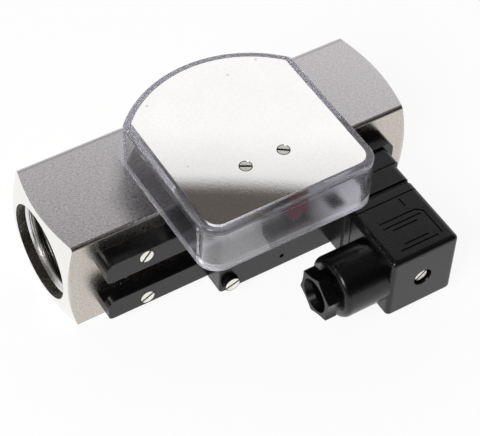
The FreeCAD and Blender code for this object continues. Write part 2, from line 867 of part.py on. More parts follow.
def make_pivot():
    """The fixed pivot pin with its flange, and the clip that keeps the follower on it."""
    pin = new_body("pivot_pin", ZERO, pivot_place, bar_top)
    flange_top = d.base_thickness + d.pin_flange_height
    clip_under = flange_top + d.lever_hub_height + d.running_gap * 2
    top = clip_under + d.clip_thickness * 2
    profile = [
        (ZERO, ZERO),
        (d.pin_radius, ZERO),
        (d.pin_radius, d.base_thickness),
        (d.pin_flange_radius, d.base_thickness),
        (d.pin_flange_radius, flange_top),
        (d.pin_radius, flange_top),
        (d.pin_radius, top),
        (ZERO, top),
    ]
    turn_profile(pin, "Revolution", profile, "V_Axis")
    keep(pin, "pivot_pin")
    clip = new_body("pivot_clip", ZERO, pivot_place, bar_top)
    inner = d.pin_radius + d.fit_gap
    profile = [
        (inner, clip_under),
        (d.clip_radius, clip_under),
        (d.clip_radius, clip_under + d.clip_thickness),
        (inner, clip_under + d.clip_thickness),
    ]
    turn_profile(clip, "Revolution", profile, "V_Axis")
    keep(clip, "pivot_clip")


def new_follower_body(label):
    """A body in the follower's frame: origin on the pivot, +Y to its magnet, turned to the no-flow end."""
    body = new_body(label, ZERO, pivot_place, lever_height, FreeCAD.Rotation(UP, lever_turn.number))
    body.setExpression("Placement.Rotation.Angle", lever_turn.text)
    return body


def make_follower():
    """The moulded follower lever, its magnet over the float, and the red flag behind the front wall."""
    lever = new_follower_body("follower_lever")
    hub = new_sketch(lever, "XY_Plane")
    draw_circle(hub, 0, 0, d.lever_hub_radius)
    add_feature(lever, "Pad", hub, d.lever_hub_height)
    half_width = d.lever_width / 2
    for start, end in ((ZERO, lever_reach), (d.flag_thickness - flag_reach, ZERO)):
        arm = new_sketch(lever, "XY_Plane")
        draw_rectangle(arm, -half_width, half_width, start, end)
        add_feature(lever, "Pad", arm, d.lever_thickness)
    cup = new_sketch(lever, "XY_Plane")
    draw_circle(cup, ZERO, lever_reach, d.lever_cup_radius)
    add_feature(lever, "Pad", cup, d.lever_cup_height)
    seat = new_sketch(lever, "XY_Plane")
    draw_circle(seat, ZERO, lever_reach, d.lever_magnet_radius + d.fit_gap)
    add_feature(lever, "Pocket", seat, d.lever_magnet_height, reverse=True)
    bore = new_sketch(lever, "XY_Plane")
    draw_circle(bore, 0, 0, d.pin_radius + d.fit_gap)
    add_feature(lever, "Pocket", bore)
    keep(lever, "follower_lever")
    magnet = new_follower_body("follower_magnet")
    disc = new_sketch(magnet, "XY_Plane")
    draw_circle(disc, ZERO, lever_reach, d.lever_magnet_radius)
    add_feature(magnet, "Pad", disc, d.lever_magnet_height)
    keep(magnet, "follower_magnet")
    flag = new_follower_body("follower_flag")
    upright = new_sketch(flag, "XY_Plane", d.lever_thickness)
    half_flag = d.flag_width / 2
    draw_rectangle(upright, -half_flag, half_flag, -flag_reach, d.flag_thickness - flag_reach)
    add_feature(flag, "Pad", upright, d.flag_height)
    foot = new_sketch(flag, "XY_Plane", d.lever_thickness)
    draw_rectangle(foot, -half_width, half_width, -flag_reach, d.flag_foot - flag_reach)
    add_feature(flag, "Pad", foot, d.flag_thickness)
    keep(flag, "follower_flag")


def make_rails():
    """Two moulded guide rails with undercut inner edges, screwed to the bar's front face."""
    half_rail = d.rail_length / 2
    slot_depth = d.rail_depth - d.rail_lip_depth
    screws = []
    for label, side, turns in (("lower_rail", -1, (28, 60)), ("upper_rail", 1, (52, 15))):
        body = new_body(label, ZERO, front_face, axis_height)
        low, high = sorted((d.rail_lip * side, d.rail_outer * side), key=lambda size: size.number)
        outline = new_sketch(body, "XZ_Plane")
        draw_rectangle(outline, -half_rail, half_rail, low, high)
        add_feature(body, "Pad", outline, d.rail_depth)
        for height, radius in ((high, d.rail_round_top), (low, d.rail_round_bottom)):
            soften_edges(
                body,
                "Fillet",
                radius,
                lambda edge: runs_along(edge, "y") and near(edge.BoundBox.ZMin, height),
            )
        undercut = new_sketch(body, "YZ_Plane")
        inner = (d.rail_lip - d.rail_lip_depth) * side
        draw_rectangle(undercut, -slot_depth, slot_depth, inner, d.rail_slot * side)
        add_feature(body, "Pocket", undercut)
        holes = new_sketch(body, "XZ_Plane")
        clearance = d.rail_screw_shank + d.fit_gap * 2
        places = [-d.rail_screw_spread, d.rail_screw_spread]
        for x in places:
            draw_circle(holes, x, d.rail_screw_height * side, clearance)
        add_feature(body, "Pocket", holes)
        soften_edges(
            body,
            "Chamfer",
            d.rail_screw_head - d.rail_screw_shank,
            lambda edge: near(spans(edge, "x"), clearance * 2) and near(edge.BoundBox.YMin, -d.rail_depth),
        )
        keep(body, label)
        for x, slot_turn in zip(places, turns):
            point = (x, rail_front, axis_height + d.rail_screw_height * side)
            screws.append(
                add_screw(
                    "rail_screw",
                    d.rail_screw_head,
                    d.rail_screw_shank,
                    d.rail_screw_length,
                    point,
                    FACING_FRONT,
                    slot_turn,
                )
            )
    group("rail_screws", screws)


def make_switch_housing():
    """The moulded switch housing: a block in front of the rails with a tongue that runs in their slot."""
    body = new_body("switch_housing", ZERO, housing_back, axis_height)
    block = new_sketch(body, "XZ_Plane")
    draw_rectangle(block, -d.housing_left, d.housing_right, -d.housing_bottom, d.housing_top)
    add_feature(body, "Pad", block, d.housing_depth)
    soften_edges(body, "Fillet", d.housing_corner, lambda edge: runs_along(edge, "y"))
    soften_edges(
        body,
        "Fillet",
        d.housing_corner / 3,
        lambda edge: near(edge.BoundBox.YMax, -d.housing_depth),
    )
    tongue_left = d.tongue_inset - d.housing_left
    tongue_right = d.housing_right - d.tongue_inset
    neck_length = d.rail_lip_depth + d.running_gap * 2
    neck = new_sketch(body, "XZ_Plane")
    half_neck = d.rail_lip - d.running_gap
    draw_rectangle(neck, tongue_left, tongue_right, -half_neck, half_neck)
    add_feature(body, "Pad", neck, neck_length, reverse=True)
    flange = new_sketch(body, "XZ_Plane", -neck_length)
    half_flange = d.rail_slot - d.running_gap
    flange_depth = d.rail_depth - d.rail_lip_depth - d.running_gap * 2
    draw_rectangle(flange, tongue_left, tongue_right, -half_flange, half_flange)
    add_feature(body, "Pad", flange, flange_depth, reverse=True)
    reed_place = neck_length + flange_depth / 2
    reed_bore = new_sketch(body, "YZ_Plane", tongue_left)
    draw_circle(reed_bore, reed_place, ZERO, d.reed_bore_radius)
    add_feature(body, "Pocket", reed_bore, d.reed_bore_depth, reverse=True)
    recess = new_sketch(body, "XZ_Plane", d.housing_depth)
    draw_circle(recess, -d.clamp_place, -d.clamp_drop, d.clamp_recess_radius)
    add_feature(body, "Pocket", recess, d.clamp_recess_depth)
    clamp_hole = new_sketch(body, "XZ_Plane", d.housing_depth)
    draw_circle(clamp_hole, -d.clamp_place, -d.clamp_drop, d.clamp_shank_radius + d.fit_gap)
    add_feature(body, "Pocket", clamp_hole)
    mark_hole = new_sketch(body, "XZ_Plane", d.housing_depth)
    draw_circle(mark_hole, d.mark_hole_place, -d.mark_hole_drop, d.mark_hole_radius)
    add_feature(body, "Pocket", mark_hole, d.mark_hole_depth)
    keep(body, "switch_housing")
    head_top = housing_front + d.clamp_recess_depth - d.clamp_head_height - d.running_gap
    clamp = add_screw(
        "clamp_screw",
        d.clamp_head_radius,
        d.clamp_shank_radius,
        housing_back - head_top,
        (-d.clamp_place, head_top, axis_height - d.clamp_drop),
        FACING_FRONT,
        20,
        d.clamp_head_height,
    )
    keep(clamp, "clamp_screw")
    make_reed_switch(tongue_left, housing_back + reed_place)


def make_reed_switch(tongue_left, reed_line):
    """The glass reed switch in the tongue's bore, with its two leads."""
    lead = d.reed_lead_length
    start = tongue_left + (d.reed_bore_depth - d.reed_length) / 2 - lead
    glass = start + lead
    end = glass + d.reed_length
    shoulder = d.reed_radius / 2
    reed = new_body("reed_switch", ZERO, reed_line, axis_height - (d.reed_bore_radius - d.reed_radius))
    profile = [
        (start, ZERO),
        (start, d.reed_lead_radius),
        (glass, d.reed_lead_radius),
        (glass, shoulder),
        (glass + shoulder, d.reed_radius),
        (end - shoulder, d.reed_radius),
        (end, shoulder),
        (end, d.reed_lead_radius),
        (end + lead, d.reed_lead_radius),
        (end + lead, ZERO),
    ]
    turn_profile(reed, "Revolution", profile)
    keep(reed, "reed_switch")


def draw_blades(sketch, margin):
    """The four contact blades' outlines, one on each side of the plug's screw, with a margin all round."""
    near_side = d.blade_place - d.blade_thickness / 2 - margin
    far_side = d.blade_place + d.blade_thickness / 2 + margin
    half_width = d.blade_width / 2 + margin
    draw_rectangle(sketch, near_side, far_side, -half_width, half_width)
    draw_rectangle(sketch, -far_side, -near_side, -half_width, half_width)
    draw_rectangle(sketch, -half_width, half_width, near_side, far_side)
    draw_rectangle(sketch, -half_width, half_width, -far_side, -near_side)


def draw_square(sketch, side):
    half = side / 2
    draw_rectangle(sketch, -half, half, -half, half)


def make_plug_base():
    """The plug's square base on the housing, its contact blades, and the gasket round them."""
    base = new_body("plug_base", d.plug_place, housing_front, plug_height)
    block = new_sketch(base, "XZ_Plane")
    half_base = d.plug_base_side / 2
    low = d.plug_base_rise - half_base
    high = d.plug_base_rise + half_base
    draw_rectangle(block, -half_base, half_base, low, high)
    add_feature(base, "Pad", block, d.plug_base_depth)
    soften_edges(base, "Fillet", d.plug_corner, lambda edge: runs_along(edge, "y"))
    seats = new_sketch(base, "XZ_Plane", d.plug_base_depth)
    draw_blades(seats, d.fit_gap)
    add_feature(base, "Pocket", seats, d.blade_root)
    screw_hole = new_sketch(base, "XZ_Plane", d.plug_base_depth)
    draw_circle(screw_hole, 0, 0, d.cap_screw_shank + d.fit_gap)
    add_feature(base, "Pocket", screw_hole, d.cap_screw_grip + d.running_gap)
    keep(base, "plug_base")
    blades = []
    for across, upright in ((1, 0), (-1, 0), (0, 1), (0, -1)):
        wide = d.blade_thickness if across else d.blade_width
        tall = d.blade_width if across else d.blade_thickness
        blade = doc.addObject("Part::Box", "contact_blade")
        bind(blade, Length=wide, Width=d.blade_root + d.blade_reach, Height=tall)
        place(
            blade,
            d.plug_place + d.blade_place * across - wide / 2,
            plug_base_front - d.blade_reach,
            plug_height + d.blade_place * upright - tall / 2,
        )
        blades.append(blade)
    group("contact_blades", blades)
    gasket = new_body("plug_gasket", d.plug_place, plug_base_front, plug_height)
    sheet_outline = new_sketch(gasket, "XZ_Plane")
    draw_square(sheet_outline, d.gasket_side)
    add_feature(gasket, "Pad", sheet_outline, d.gasket_thickness)
    soften_edges(gasket, "Fillet", d.plug_corner, lambda edge: runs_along(edge, "y"))
    soften_edges(gasket, "Fillet", d.gasket_round, lambda edge: not runs_along(edge, "y"))
    window = new_sketch(gasket, "XZ_Plane")
    draw_square(window, d.gasket_window)
    add_feature(gasket, "Pocket", window)
    keep(gasket, "plug_gasket")


def engrave_cap(cap, top):
    """Plain lines sunk in the cap's top: four bars, a frame line round two sides and a short tick."""
    half_line = d.engraving_width / 2
    middle = d.engraving_middle - d.cap_depth
    lines = new_sketch(cap, "XY_Plane", top)
    for reach, offset in (
        (d.engraving_long, d.engraving_outer),
        (d.engraving_short, d.engraving_inner),
    ):
        for place_of_bar in (middle - offset, middle + offset):
            draw_rectangle(lines, -reach, reach, place_of_bar - half_line, place_of_bar + half_line)
    back = middle + d.engraving_frame
    cut = back - d.engraving_corner
    side = d.engraving_side
    bend = side - d.engraving_corner
    frame_line = [
        (-d.engraving_long, back - half_line),
        (bend - half_line / 2, back - half_line),
        (side - half_line, cut + half_line / 2),
        (side - half_line, middle - d.engraving_outer),
        (side + half_line, middle - d.engraving_outer),
        (side + half_line, cut + half_line),
        (bend, back + half_line),
        (-d.engraving_long, back + half_line),
    ]
    draw_outline(lines, frame_line)
    tick_start = -d.cap_groove_place - d.cap_groove_width * 3
    draw_rectangle(
        lines,
        d.engraving_short - half_line,
        d.engraving_short + half_line,
        tick_start - d.engraving_tick,
        tick_start,
    )
    add_feature(cap, "Pocket", lines, d.engraving_depth)


def make_plug_cap():
    """The moulded plug cap with its gland collar, the terminal insert inside it and the screw through it."""
    cap = new_body("plug_cap", d.plug_place, gasket_front, plug_height)
    half_width = d.cap_width / 2
    half_height = d.cap_height / 2
    groove_front = d.cap_groove_place + d.cap_groove_width
    for start, end, inset in (
        (ZERO, d.cap_groove_place, ZERO),
        (d.cap_groove_place, groove_front, d.cap_groove_depth),
        (groove_front, d.cap_depth, ZERO),
    ):
        side = half_width - inset
        top = half_height - inset
        block = new_sketch(cap, "XZ_Plane", start)
        draw_rectangle(block, -side, side, -top, top)
        add_feature(cap, "Pad", block, end - start)
    for inset in (ZERO, d.cap_groove_depth):
        side = half_width - inset
        soften_edges(
            cap,
            "Fillet",
            d.cap_corner - inset,
            lambda edge: runs_along(edge, "y") and near(abs(edge.BoundBox.XMin), side),
        )
    soften_edges(cap, "Fillet", d.cap_edge, lambda edge: near(edge.BoundBox.YMax, -d.cap_depth))
    engrave_cap(cap, half_height)
    gland_line = d.gland_back - d.cap_depth
    collar_end = -half_width - d.collar_reach
    collar = new_sketch(cap, "YZ_Plane", collar_end)
    draw_circle(collar, gland_line, ZERO, d.collar_radius)
    add_feature(cap, "Pad", collar, d.collar_reach + d.cap_wall)
    soften_edges(
        cap,
        "Fillet",
        d.collar_round,
        lambda edge: near(edge.BoundBox.XMax, collar_end) and near(spans(edge, "y"), d.collar_radius * 2),
    )
    cavity = new_sketch(cap, "XZ_Plane")
    inner_width = half_width - d.cap_wall
    inner_height = half_height - d.cap_wall
    draw_rectangle(cavity, -inner_width, inner_width, -inner_height, inner_height)
    add_feature(cap, "Pocket", cavity, d.cap_depth - d.cap_wall, reverse=True)
    boss = new_sketch(cap, "XZ_Plane", d.cap_depth - d.cap_recess_depth - d.cap_wall)
    draw_circle(boss, 0, 0, d.cap_boss_radius)
    add_feature(cap, "Pad", boss, d.cap_recess_depth)
    for radius, depth in (
        (d.gland_bore_radius, d.gland_bore_depth),
        (d.gland_throat_radius, d.collar_reach + d.cap_wall),
    ):
        bore = new_sketch(cap, "YZ_Plane", collar_end)
        draw_circle(bore, gland_line, ZERO, radius)
        add_feature(cap, "Pocket", bore, depth, reverse=True)
    recess = new_sketch(cap, "XZ_Plane", d.cap_depth)
    draw_circle(recess, 0, 0, d.cap_recess_radius)
    add_feature(cap, "Pocket", recess, d.cap_recess_depth)
    screw_hole = new_sketch(cap, "XZ_Plane", d.cap_depth)
    draw_circle(screw_hole, 0, 0, d.cap_screw_shank + d.running_gap)
    add_feature(cap, "Pocket", screw_hole, d.cap_recess_depth + d.cap_wall)
    keep(cap, "plug_cap")
    insert = new_body("terminal_insert", d.plug_place, gasket_front, plug_height)
    block = new_sketch(insert, "XZ_Plane")
    draw_square(block, d.insert_side)
    add_feature(insert, "Pad", block, d.insert_depth)
    slots = new_sketch(insert, "XZ_Plane")
    draw_blades(slots, d.fit_gap * 2)
    add_feature(insert, "Pocket", slots)
    hole = new_sketch(insert, "XZ_Plane")
    draw_circle(hole, 0, 0, d.cap_screw_shank + d.running_gap)
    add_feature(insert, "Pocket", hole)
    keep(insert, "terminal_insert")
    head_top = cap_front + d.cap_recess_depth - d.cap_screw_head_height
    screw = add_screw(
        "cap_screw",
        d.cap_screw_head,
        d.cap_screw_shank,
        plug_base_front + d.cap_screw_grip - head_top,
        (d.plug_place, head_top, plug_height),
        FACING_FRONT,
        40,
        d.cap_screw_head_height,
    )
    keep(screw, "cap_screw")


def make_gland():
    """The cable gland in the cap's collar: rubber seal, pressure washer and a nut with six hollow sides."""
    line = cap_front + d.gland_back
    collar_end = d.plug_place - d.cap_width / 2 - d.collar_reach
    seal_end = collar_end + d.gland_bore_depth
    seal_start = seal_end - d.seal_length
    washer_start = seal_start - d.washer_thickness
    bore = d.gland_bore_radius - d.running_gap
    for label, start, end, inner in (
        ("gland_seal", seal_start, seal_end, d.seal_inner_radius),
        ("gland_washer", washer_start, seal_start, d.washer_inner_radius),
    ):
        ring = new_body(label, start, line, plug_height)
        length = end - start
        profile = [(ZERO, inner), (length, inner), (length, bore), (ZERO, bore)]
        turn_profile(ring, "Revolution", profile)
        keep(ring, label)
    nut_turn = FreeCAD.Rotation(FreeCAD.Vector(1, 0, 0), 8)
    nut = new_body("gland_nut", collar_end, line, plug_height, nut_turn)
    hexagon = new_sketch(nut, "YZ_Plane", -d.nut_reach)
    half_flat = d.nut_radius * math.sqrt(3) / 2
    corners = [
        (ZERO, d.nut_radius),
        (-half_flat, d.nut_radius / 2),
        (-half_flat, -d.nut_radius / 2),
        (ZERO, -d.nut_radius),
        (half_flat, -d.nut_radius / 2),
        (half_flat, d.nut_radius / 2),
    ]
    hollow_radius = d.nut_radius * d.nut_radius / (d.nut_hollow * 8) + d.nut_hollow / 2
    draw_hollow_outline(hexagon, corners, hollow_radius)
    add_feature(nut, "Pad", hexagon, d.nut_reach - d.nut_gap)
    shank_end = washer_start - collar_end - d.running_gap
    for start, end, radius in (
        (-d.nut_gap, ZERO, d.nut_neck_radius),
        (ZERO, shank_end, d.gland_bore_radius - d.fit_gap),
    ):
        shank = new_sketch(nut, "YZ_Plane", start)
        draw_circle(shank, 0, 0, radius)
        add_feature(nut, "Pad", shank, end - start)
    rim = d.nut_radius * 1.1
    chamfer = (rim - d.nut_chamfer_radius) * tangent(d.nut_chamfer_angle)
    corners = [
        (-d.nut_reach, d.nut_chamfer_radius),
        (-d.nut_reach, rim),
        (chamfer - d.nut_reach, rim),
    ]
    turn_profile(nut, "Groove", corners)
    flare = d.nut_mouth_radius - d.nut_hole_radius
    profile = [
        (-d.nut_reach, ZERO),
        (-d.nut_reach, d.nut_mouth_radius),
        (flare * 2 - d.nut_reach, d.nut_hole_radius),
        (shank_end, d.nut_hole_radius),
        (shank_end, ZERO),
    ]
    turn_profile(nut, "Groove", profile)
    keep(nut, "gland_nut")


make_meter_body()
make_guides()
make_retaining_rings()
make_guide_rod()
make_orifice_ring()
make_float()
make_return_spring()
make_indicator_base()
make_pillars()
make_dial_plate()
make_clear_cover()
make_pivot()
make_follower()
make_rails()
make_switch_housing()
make_plug_base()
make_plug_cap()
make_gland()
doc.recompute()

# Every object has to be up to date and every piece sound before anything is written
for item in doc.Objects:
    if "Invalid" in item.State or "Error" in item.State:
        raise RuntimeError(f"{item.Name} failed: {item.State}")
for piece in pieces:
    if piece.Shape.isNull() or not piece.Shape.isValid() or not piece.Shape.Solids:
        raise RuntimeError(f"{piece.Label} has no sound solid")

os.makedirs("parts", exist_ok=True)
for piece in pieces:
    piece.Shape.exportStep(f"parts/{piece.Label}.step")
    print(f"{piece.Label}: {len(piece.Shape.Solids)} solids, {piece.Shape.Volume:.0f} mm3")
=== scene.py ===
import math

import bpy
import numpy as np
from mathutils import Matrix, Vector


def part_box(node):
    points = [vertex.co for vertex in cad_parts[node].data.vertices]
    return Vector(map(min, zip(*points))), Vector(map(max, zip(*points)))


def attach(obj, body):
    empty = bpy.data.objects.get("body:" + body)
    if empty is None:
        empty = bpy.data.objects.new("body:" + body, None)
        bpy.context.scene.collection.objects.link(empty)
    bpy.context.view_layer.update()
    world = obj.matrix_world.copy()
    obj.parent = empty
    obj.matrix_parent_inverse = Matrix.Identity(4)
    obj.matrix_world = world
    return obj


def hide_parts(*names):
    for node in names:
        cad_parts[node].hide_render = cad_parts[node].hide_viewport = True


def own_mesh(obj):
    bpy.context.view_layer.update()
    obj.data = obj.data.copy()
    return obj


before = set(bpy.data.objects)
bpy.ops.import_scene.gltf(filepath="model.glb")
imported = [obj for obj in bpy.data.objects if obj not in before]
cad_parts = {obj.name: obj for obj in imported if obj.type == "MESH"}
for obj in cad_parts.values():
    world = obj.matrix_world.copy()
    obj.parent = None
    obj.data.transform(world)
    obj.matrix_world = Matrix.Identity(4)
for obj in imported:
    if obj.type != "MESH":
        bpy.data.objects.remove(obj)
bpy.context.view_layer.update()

scene = bpy.context.scene

# Square bar
# The meter's body is ground square steel bar, faced and chamfered on a lathe and bored through. Its long
# faces are matt and speckled, and its ends are bright. Painted on it are thin dark lines on the rounded long
# edges and near the back edge, standing in for dark reflections; a dark bore, as shade; a warm tint on the
# sides and a cool one on the top, as reflected colour; and painted shade and reflection on the top beside
# the cover's left wall.
BAR_DARK = (0.55, 0.54, 0.535, 1)
BAR_LIGHT = (0.87, 0.855, 0.85, 1)
# Painted reflected colour: the sides are tinted warm and the top cool
BAR_WARM = (0.79, 0.74, 0.685, 1)
BAR_COOL = (0.985, 0.965, 1.0, 1)
BAR_EDGE = (0.84, 0.83, 0.82, 1)
# The dark tone painted on the bar as shade and reflection
BAR_PAINTED_SHADE = (0.18, 0.17, 0.16, 1)
END_BRIGHT = (0.90, 0.89, 0.87, 1)
# Painted shade inside the bore
BORE_SHADE = (0.25, 0.235, 0.205, 1)
BAR_GRAIN_DEPTH = 0.000006
WEAR_SHARE = 0.5
NOISE_MEAN = 0.5
BORE_RADIUS = 0.0172
BORE_SOFT = 0.0002
LINE_PLACE = 0.0187
LINE_HALF = (0.0005, 0.0010)
LINE_SHARE = 0.3
# Painted shade and reflection on the top beside the cover's left wall: its ends, strength and lean
SHADE_LEFT = -0.047
SHADE_RIGHT = -0.0345
SHADE_SHARE = 0.72
SHADE_BEND = -0.008
SHADE_LEAN = 0.65

# How squarely a face looks along an axis where a tone of the bar starts and where it is full
END_FACING = (0.45, 0.68)
REFLECTION_TINT_FACING = (0.3, 0.8)
SHADE_FACING = (0.7, 0.9)
ROUNDED_FACING = (0.04, 0.15)
LOW_HALF_FACING = (0.55, 0.75)

# How the fine noise and the cloud of the surface grain are mixed, and the part of their range that is used
FINE_SHARE = 0.7
CLOUD_SHARE = 0.3
GRAIN_RANGE = (0.3, 0.7)


def node_box(name):
    """The low and high corners of a CAD node's box, in metres."""
    return [np.array(corner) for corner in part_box(name)]


def add_node(tree, kind, inputs=None, **settings):
    """One shader node: settings become its properties, and each input gets a value or a link."""
    node = tree.nodes.new(kind)
    for name, value in settings.items():
        setattr(node, name, value)
    for name, value in (inputs or {}).items():
        if isinstance(value, bpy.types.NodeSocket):
            tree.links.new(value, node.inputs[name])
        else:
            node.inputs[name].default_value = value
    return node


def compute(tree, operation, first, second=0.0, clamp=False):
    """The result of one Math node on two values or sockets."""
    node = add_node(tree, "ShaderNodeMath", {0: first, 1: second}, operation=operation, use_clamp=clamp)
    return node.outputs[0]


def compute_vector(tree, operation, first, second=(0.0, 0.0, 0.0)):
    """The result of one Vector Math node; a length or a dot product comes out as a value."""
    node = add_node(tree, "ShaderNodeVectorMath", {0: first, 1: second}, operation=operation)
    return node.outputs["Value" if operation in ("LENGTH", "DOT_PRODUCT") else "Vector"]


def split(tree, vector):
    """The X, Y and Z values of a vector."""
    return add_node(tree, "ShaderNodeSeparateXYZ", {0: vector}).outputs


def mix_colours(tree, share, first, second, blend="MIX"):
    """The colour that goes from the first to the second as the share goes from 0 to 1.

    A Mix node takes its two colours at sockets 6 and 7, and gives a colour at output 2.
    """
    inputs = {0: share, 6: first, 7: second}
    return add_node(tree, "ShaderNodeMix", inputs, data_type="RGBA", blend_type=blend).outputs[2]


def map_range(tree, value, low, high, start=0.0, end=1.0):
    """A value carried smoothly from one range to another, held at the ends."""
    inputs = {"Value": value, "From Min": low, "From Max": high, "To Min": start, "To Max": end}
    return add_node(tree, "ShaderNodeMapRange", inputs, interpolation_type="SMOOTHSTEP").outputs["Result"]


def new_effect(name, inputs, outputs):
    """An empty node group with named sockets; gives its tree, its input sockets and its output sockets."""
    tree = bpy.data.node_groups.new(name, "ShaderNodeTree")
    for label, kind in inputs.items():
        tree.interface.new_socket(label, in_out="INPUT", socket_type=f"NodeSocket{kind}")
    for label, kind in outputs.items():
        tree.interface.new_socket(label, in_out="OUTPUT", socket_type=f"NodeSocket{kind}")
    return tree, add_node(tree, "NodeGroupInput").outputs, add_node(tree, "NodeGroupOutput").inputs


def add_effect(tree, effect, **values):
    """A node group placed in a material, with its inputs set or linked; gives its output sockets."""
    return add_node(tree, "ShaderNodeGroup", values, node_tree=effect).outputs


def make_surface_grain():
    """Fine noise and a slow cloud, mixed to one share that drives a colour, a roughness and a height.

    The place is stretched first, so that the grain can lie along one direction as brushing does.
    """
    inputs = {
        "Place": "Vector",
        "Stretch": "Vector",
        "Fineness": "Float",
        "Cloud": "Float",
        "Dark": "Color",
        "Light": "Color",
        "Smooth": "Float",
        "Rough": "Float",
    }
    outputs = {"Colour": "Color", "Roughness": "Float", "Height": "Float"}
    tree, given, result = new_effect("surface_grain", inputs, outputs)
    place = compute_vector(tree, "MULTIPLY", given["Place"], given["Stretch"])
    settings = {"Vector": place, "Scale": given["Fineness"], "Detail": 4.0, "Roughness": 0.65}
    fine = add_node(tree, "ShaderNodeTexNoise", settings).outputs["Fac"]
    settings = {"Vector": given["Place"], "Scale": given["Cloud"], "Detail": 2.0, "Roughness": 0.5}
    cloud = add_node(tree, "ShaderNodeTexNoise", settings).outputs["Fac"]
    fine_part = compute(tree, "MULTIPLY", fine, FINE_SHARE)
    share = compute(tree, "ADD", fine_part, compute(tree, "MULTIPLY", cloud, CLOUD_SHARE))
    share = map_range(tree, share, *GRAIN_RANGE)
    tree.links.new(mix_colours(tree, share, given["Dark"], given["Light"]), result["Colour"])
    spread = compute(tree, "SUBTRACT", given["Rough"], given["Smooth"])
    rough = compute(tree, "ADD", given["Smooth"], compute(tree, "MULTIPLY", spread, share))
    tree.links.new(rough, result["Roughness"])
    tree.links.new(fine, result["Height"])
    return tree


def make_turned_rings():
    """Rings of noise about an axis, as a turning tool leaves them, and the distance from that axis."""
    inputs = {"Place": "Vector", "Centre": "Vector", "Axis": "Vector", "Fineness": "Float"}
    tree, given, result = new_effect("turned_rings", inputs, {"Height": "Float", "Distance": "Float"})
    arm = compute_vector(tree, "SUBTRACT", given["Place"], given["Centre"])
    length = compute_vector(tree, "LENGTH", compute_vector(tree, "CROSS_PRODUCT", arm, given["Axis"]))
    settings = {"W": length, "Scale": given["Fineness"], "Detail": 2.0}
    rings = add_node(tree, "ShaderNodeTexNoise", settings, noise_dimensions="1D")
    tree.links.new(rings.outputs["Fac"], result["Height"])
    tree.links.new(length, result["Distance"])
    return tree


def make_edge_wear():
    """How near a place is to an edge of a box, from 0 to 1, within a width that noise makes ragged.

    On the box's surface the least of the three distances to its faces is nought, so the middle one of the
    three is the distance to the nearest edge.
    """
    inputs = {
        "Place": "Vector",
        "Middle": "Vector",
        "Half": "Vector",
        "Width": "Float",
        "Fineness": "Float",
    }
    tree, given, result = new_effect("edge_wear", inputs, {"Share": "Float"})
    arm = compute_vector(tree, "SUBTRACT", given["Place"], given["Middle"])
    folded = compute_vector(tree, "ABSOLUTE", arm)
    x, y, z = split(tree, compute_vector(tree, "SUBTRACT", given["Half"], folded))
    upper = compute(tree, "MINIMUM", compute(tree, "MAXIMUM", x, y), z)
    middle = compute(tree, "MAXIMUM", compute(tree, "MINIMUM", x, y), upper)
    settings = {"Vector": given["Place"], "Scale": given["Fineness"], "Detail": 3.0}
    noise = add_node(tree, "ShaderNodeTexNoise", settings).outputs["Fac"]
    ragged = compute(tree, "MULTIPLY", given["Width"], compute(tree, "ADD", noise, NOISE_MEAN))
    near = compute(tree, "SUBTRACT", 1.0, compute(tree, "DIVIDE", middle, ragged), clamp=True)
    tree.links.new(near, result["Share"])
    return tree


SURFACE_GRAIN = make_surface_grain()
TURNED_RINGS = make_turned_rings()
EDGE_WEAR = make_edge_wear()


def raise_surface(tree, shader, height, depth, normal=None):
    """A bump of the shader's surface from a height between 0 and 1 and a depth in metres.

    It starts from the given normal, or else from the surface's own.
    """
    inputs = {"Height": height, "Distance": depth, "Strength": 1.0}
    if normal is not None:
        inputs["Normal"] = normal
    bump = add_node(tree, "ShaderNodeBump", inputs)
    tree.links.new(bump.outputs["Normal"], shader.inputs["Normal"])


def grained_finish(name, grain, depth=None, **values):
    """A material with one Principled shader whose colour and roughness come from the surface grain.

    The grain is a dict of its inputs, and a depth gives it a bump too. Plain values are set on the shader
    by socket name.
    """
    material = bpy.data.materials.new(name)
    material.use_nodes = True
    tree = material.node_tree
    shader = tree.nodes["Principled BSDF"]
    for label, value in values.items():
        shader.inputs[label.replace("_", " ")].default_value = value
    place = add_node(tree, "ShaderNodeTexCoord").outputs["Object"]
    grain = add_effect(tree, SURFACE_GRAIN, Place=place, **{"Stretch": (1.0, 1.0, 1.0), **grain})
    tree.links.new(grain["Colour"], shader.inputs["Base Color"])
    tree.links.new(grain["Roughness"], shader.inputs["Roughness"])
    if depth is not None:
        raise_surface(tree, shader, grain["Height"], depth)
    return material, tree, shader, place, grain


def dress(material, *names):
    """Give CAD nodes a material in place of their own."""
    for name in names:
        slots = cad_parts[name].data.materials
        slots.clear()
        slots.append(material)


bar_low, bar_high = np.round(node_box("meter_body"), 6)
BAR_AXIS = tuple(((bar_low + bar_high) / 2).tolist())
BAR_HALF = tuple(((bar_high - bar_low) / 2).tolist())
ALONG_BAR = (1.0, 0.0, 0.0)
cover_low, cover_high = np.round(node_box("clear_cover"), 6).tolist()

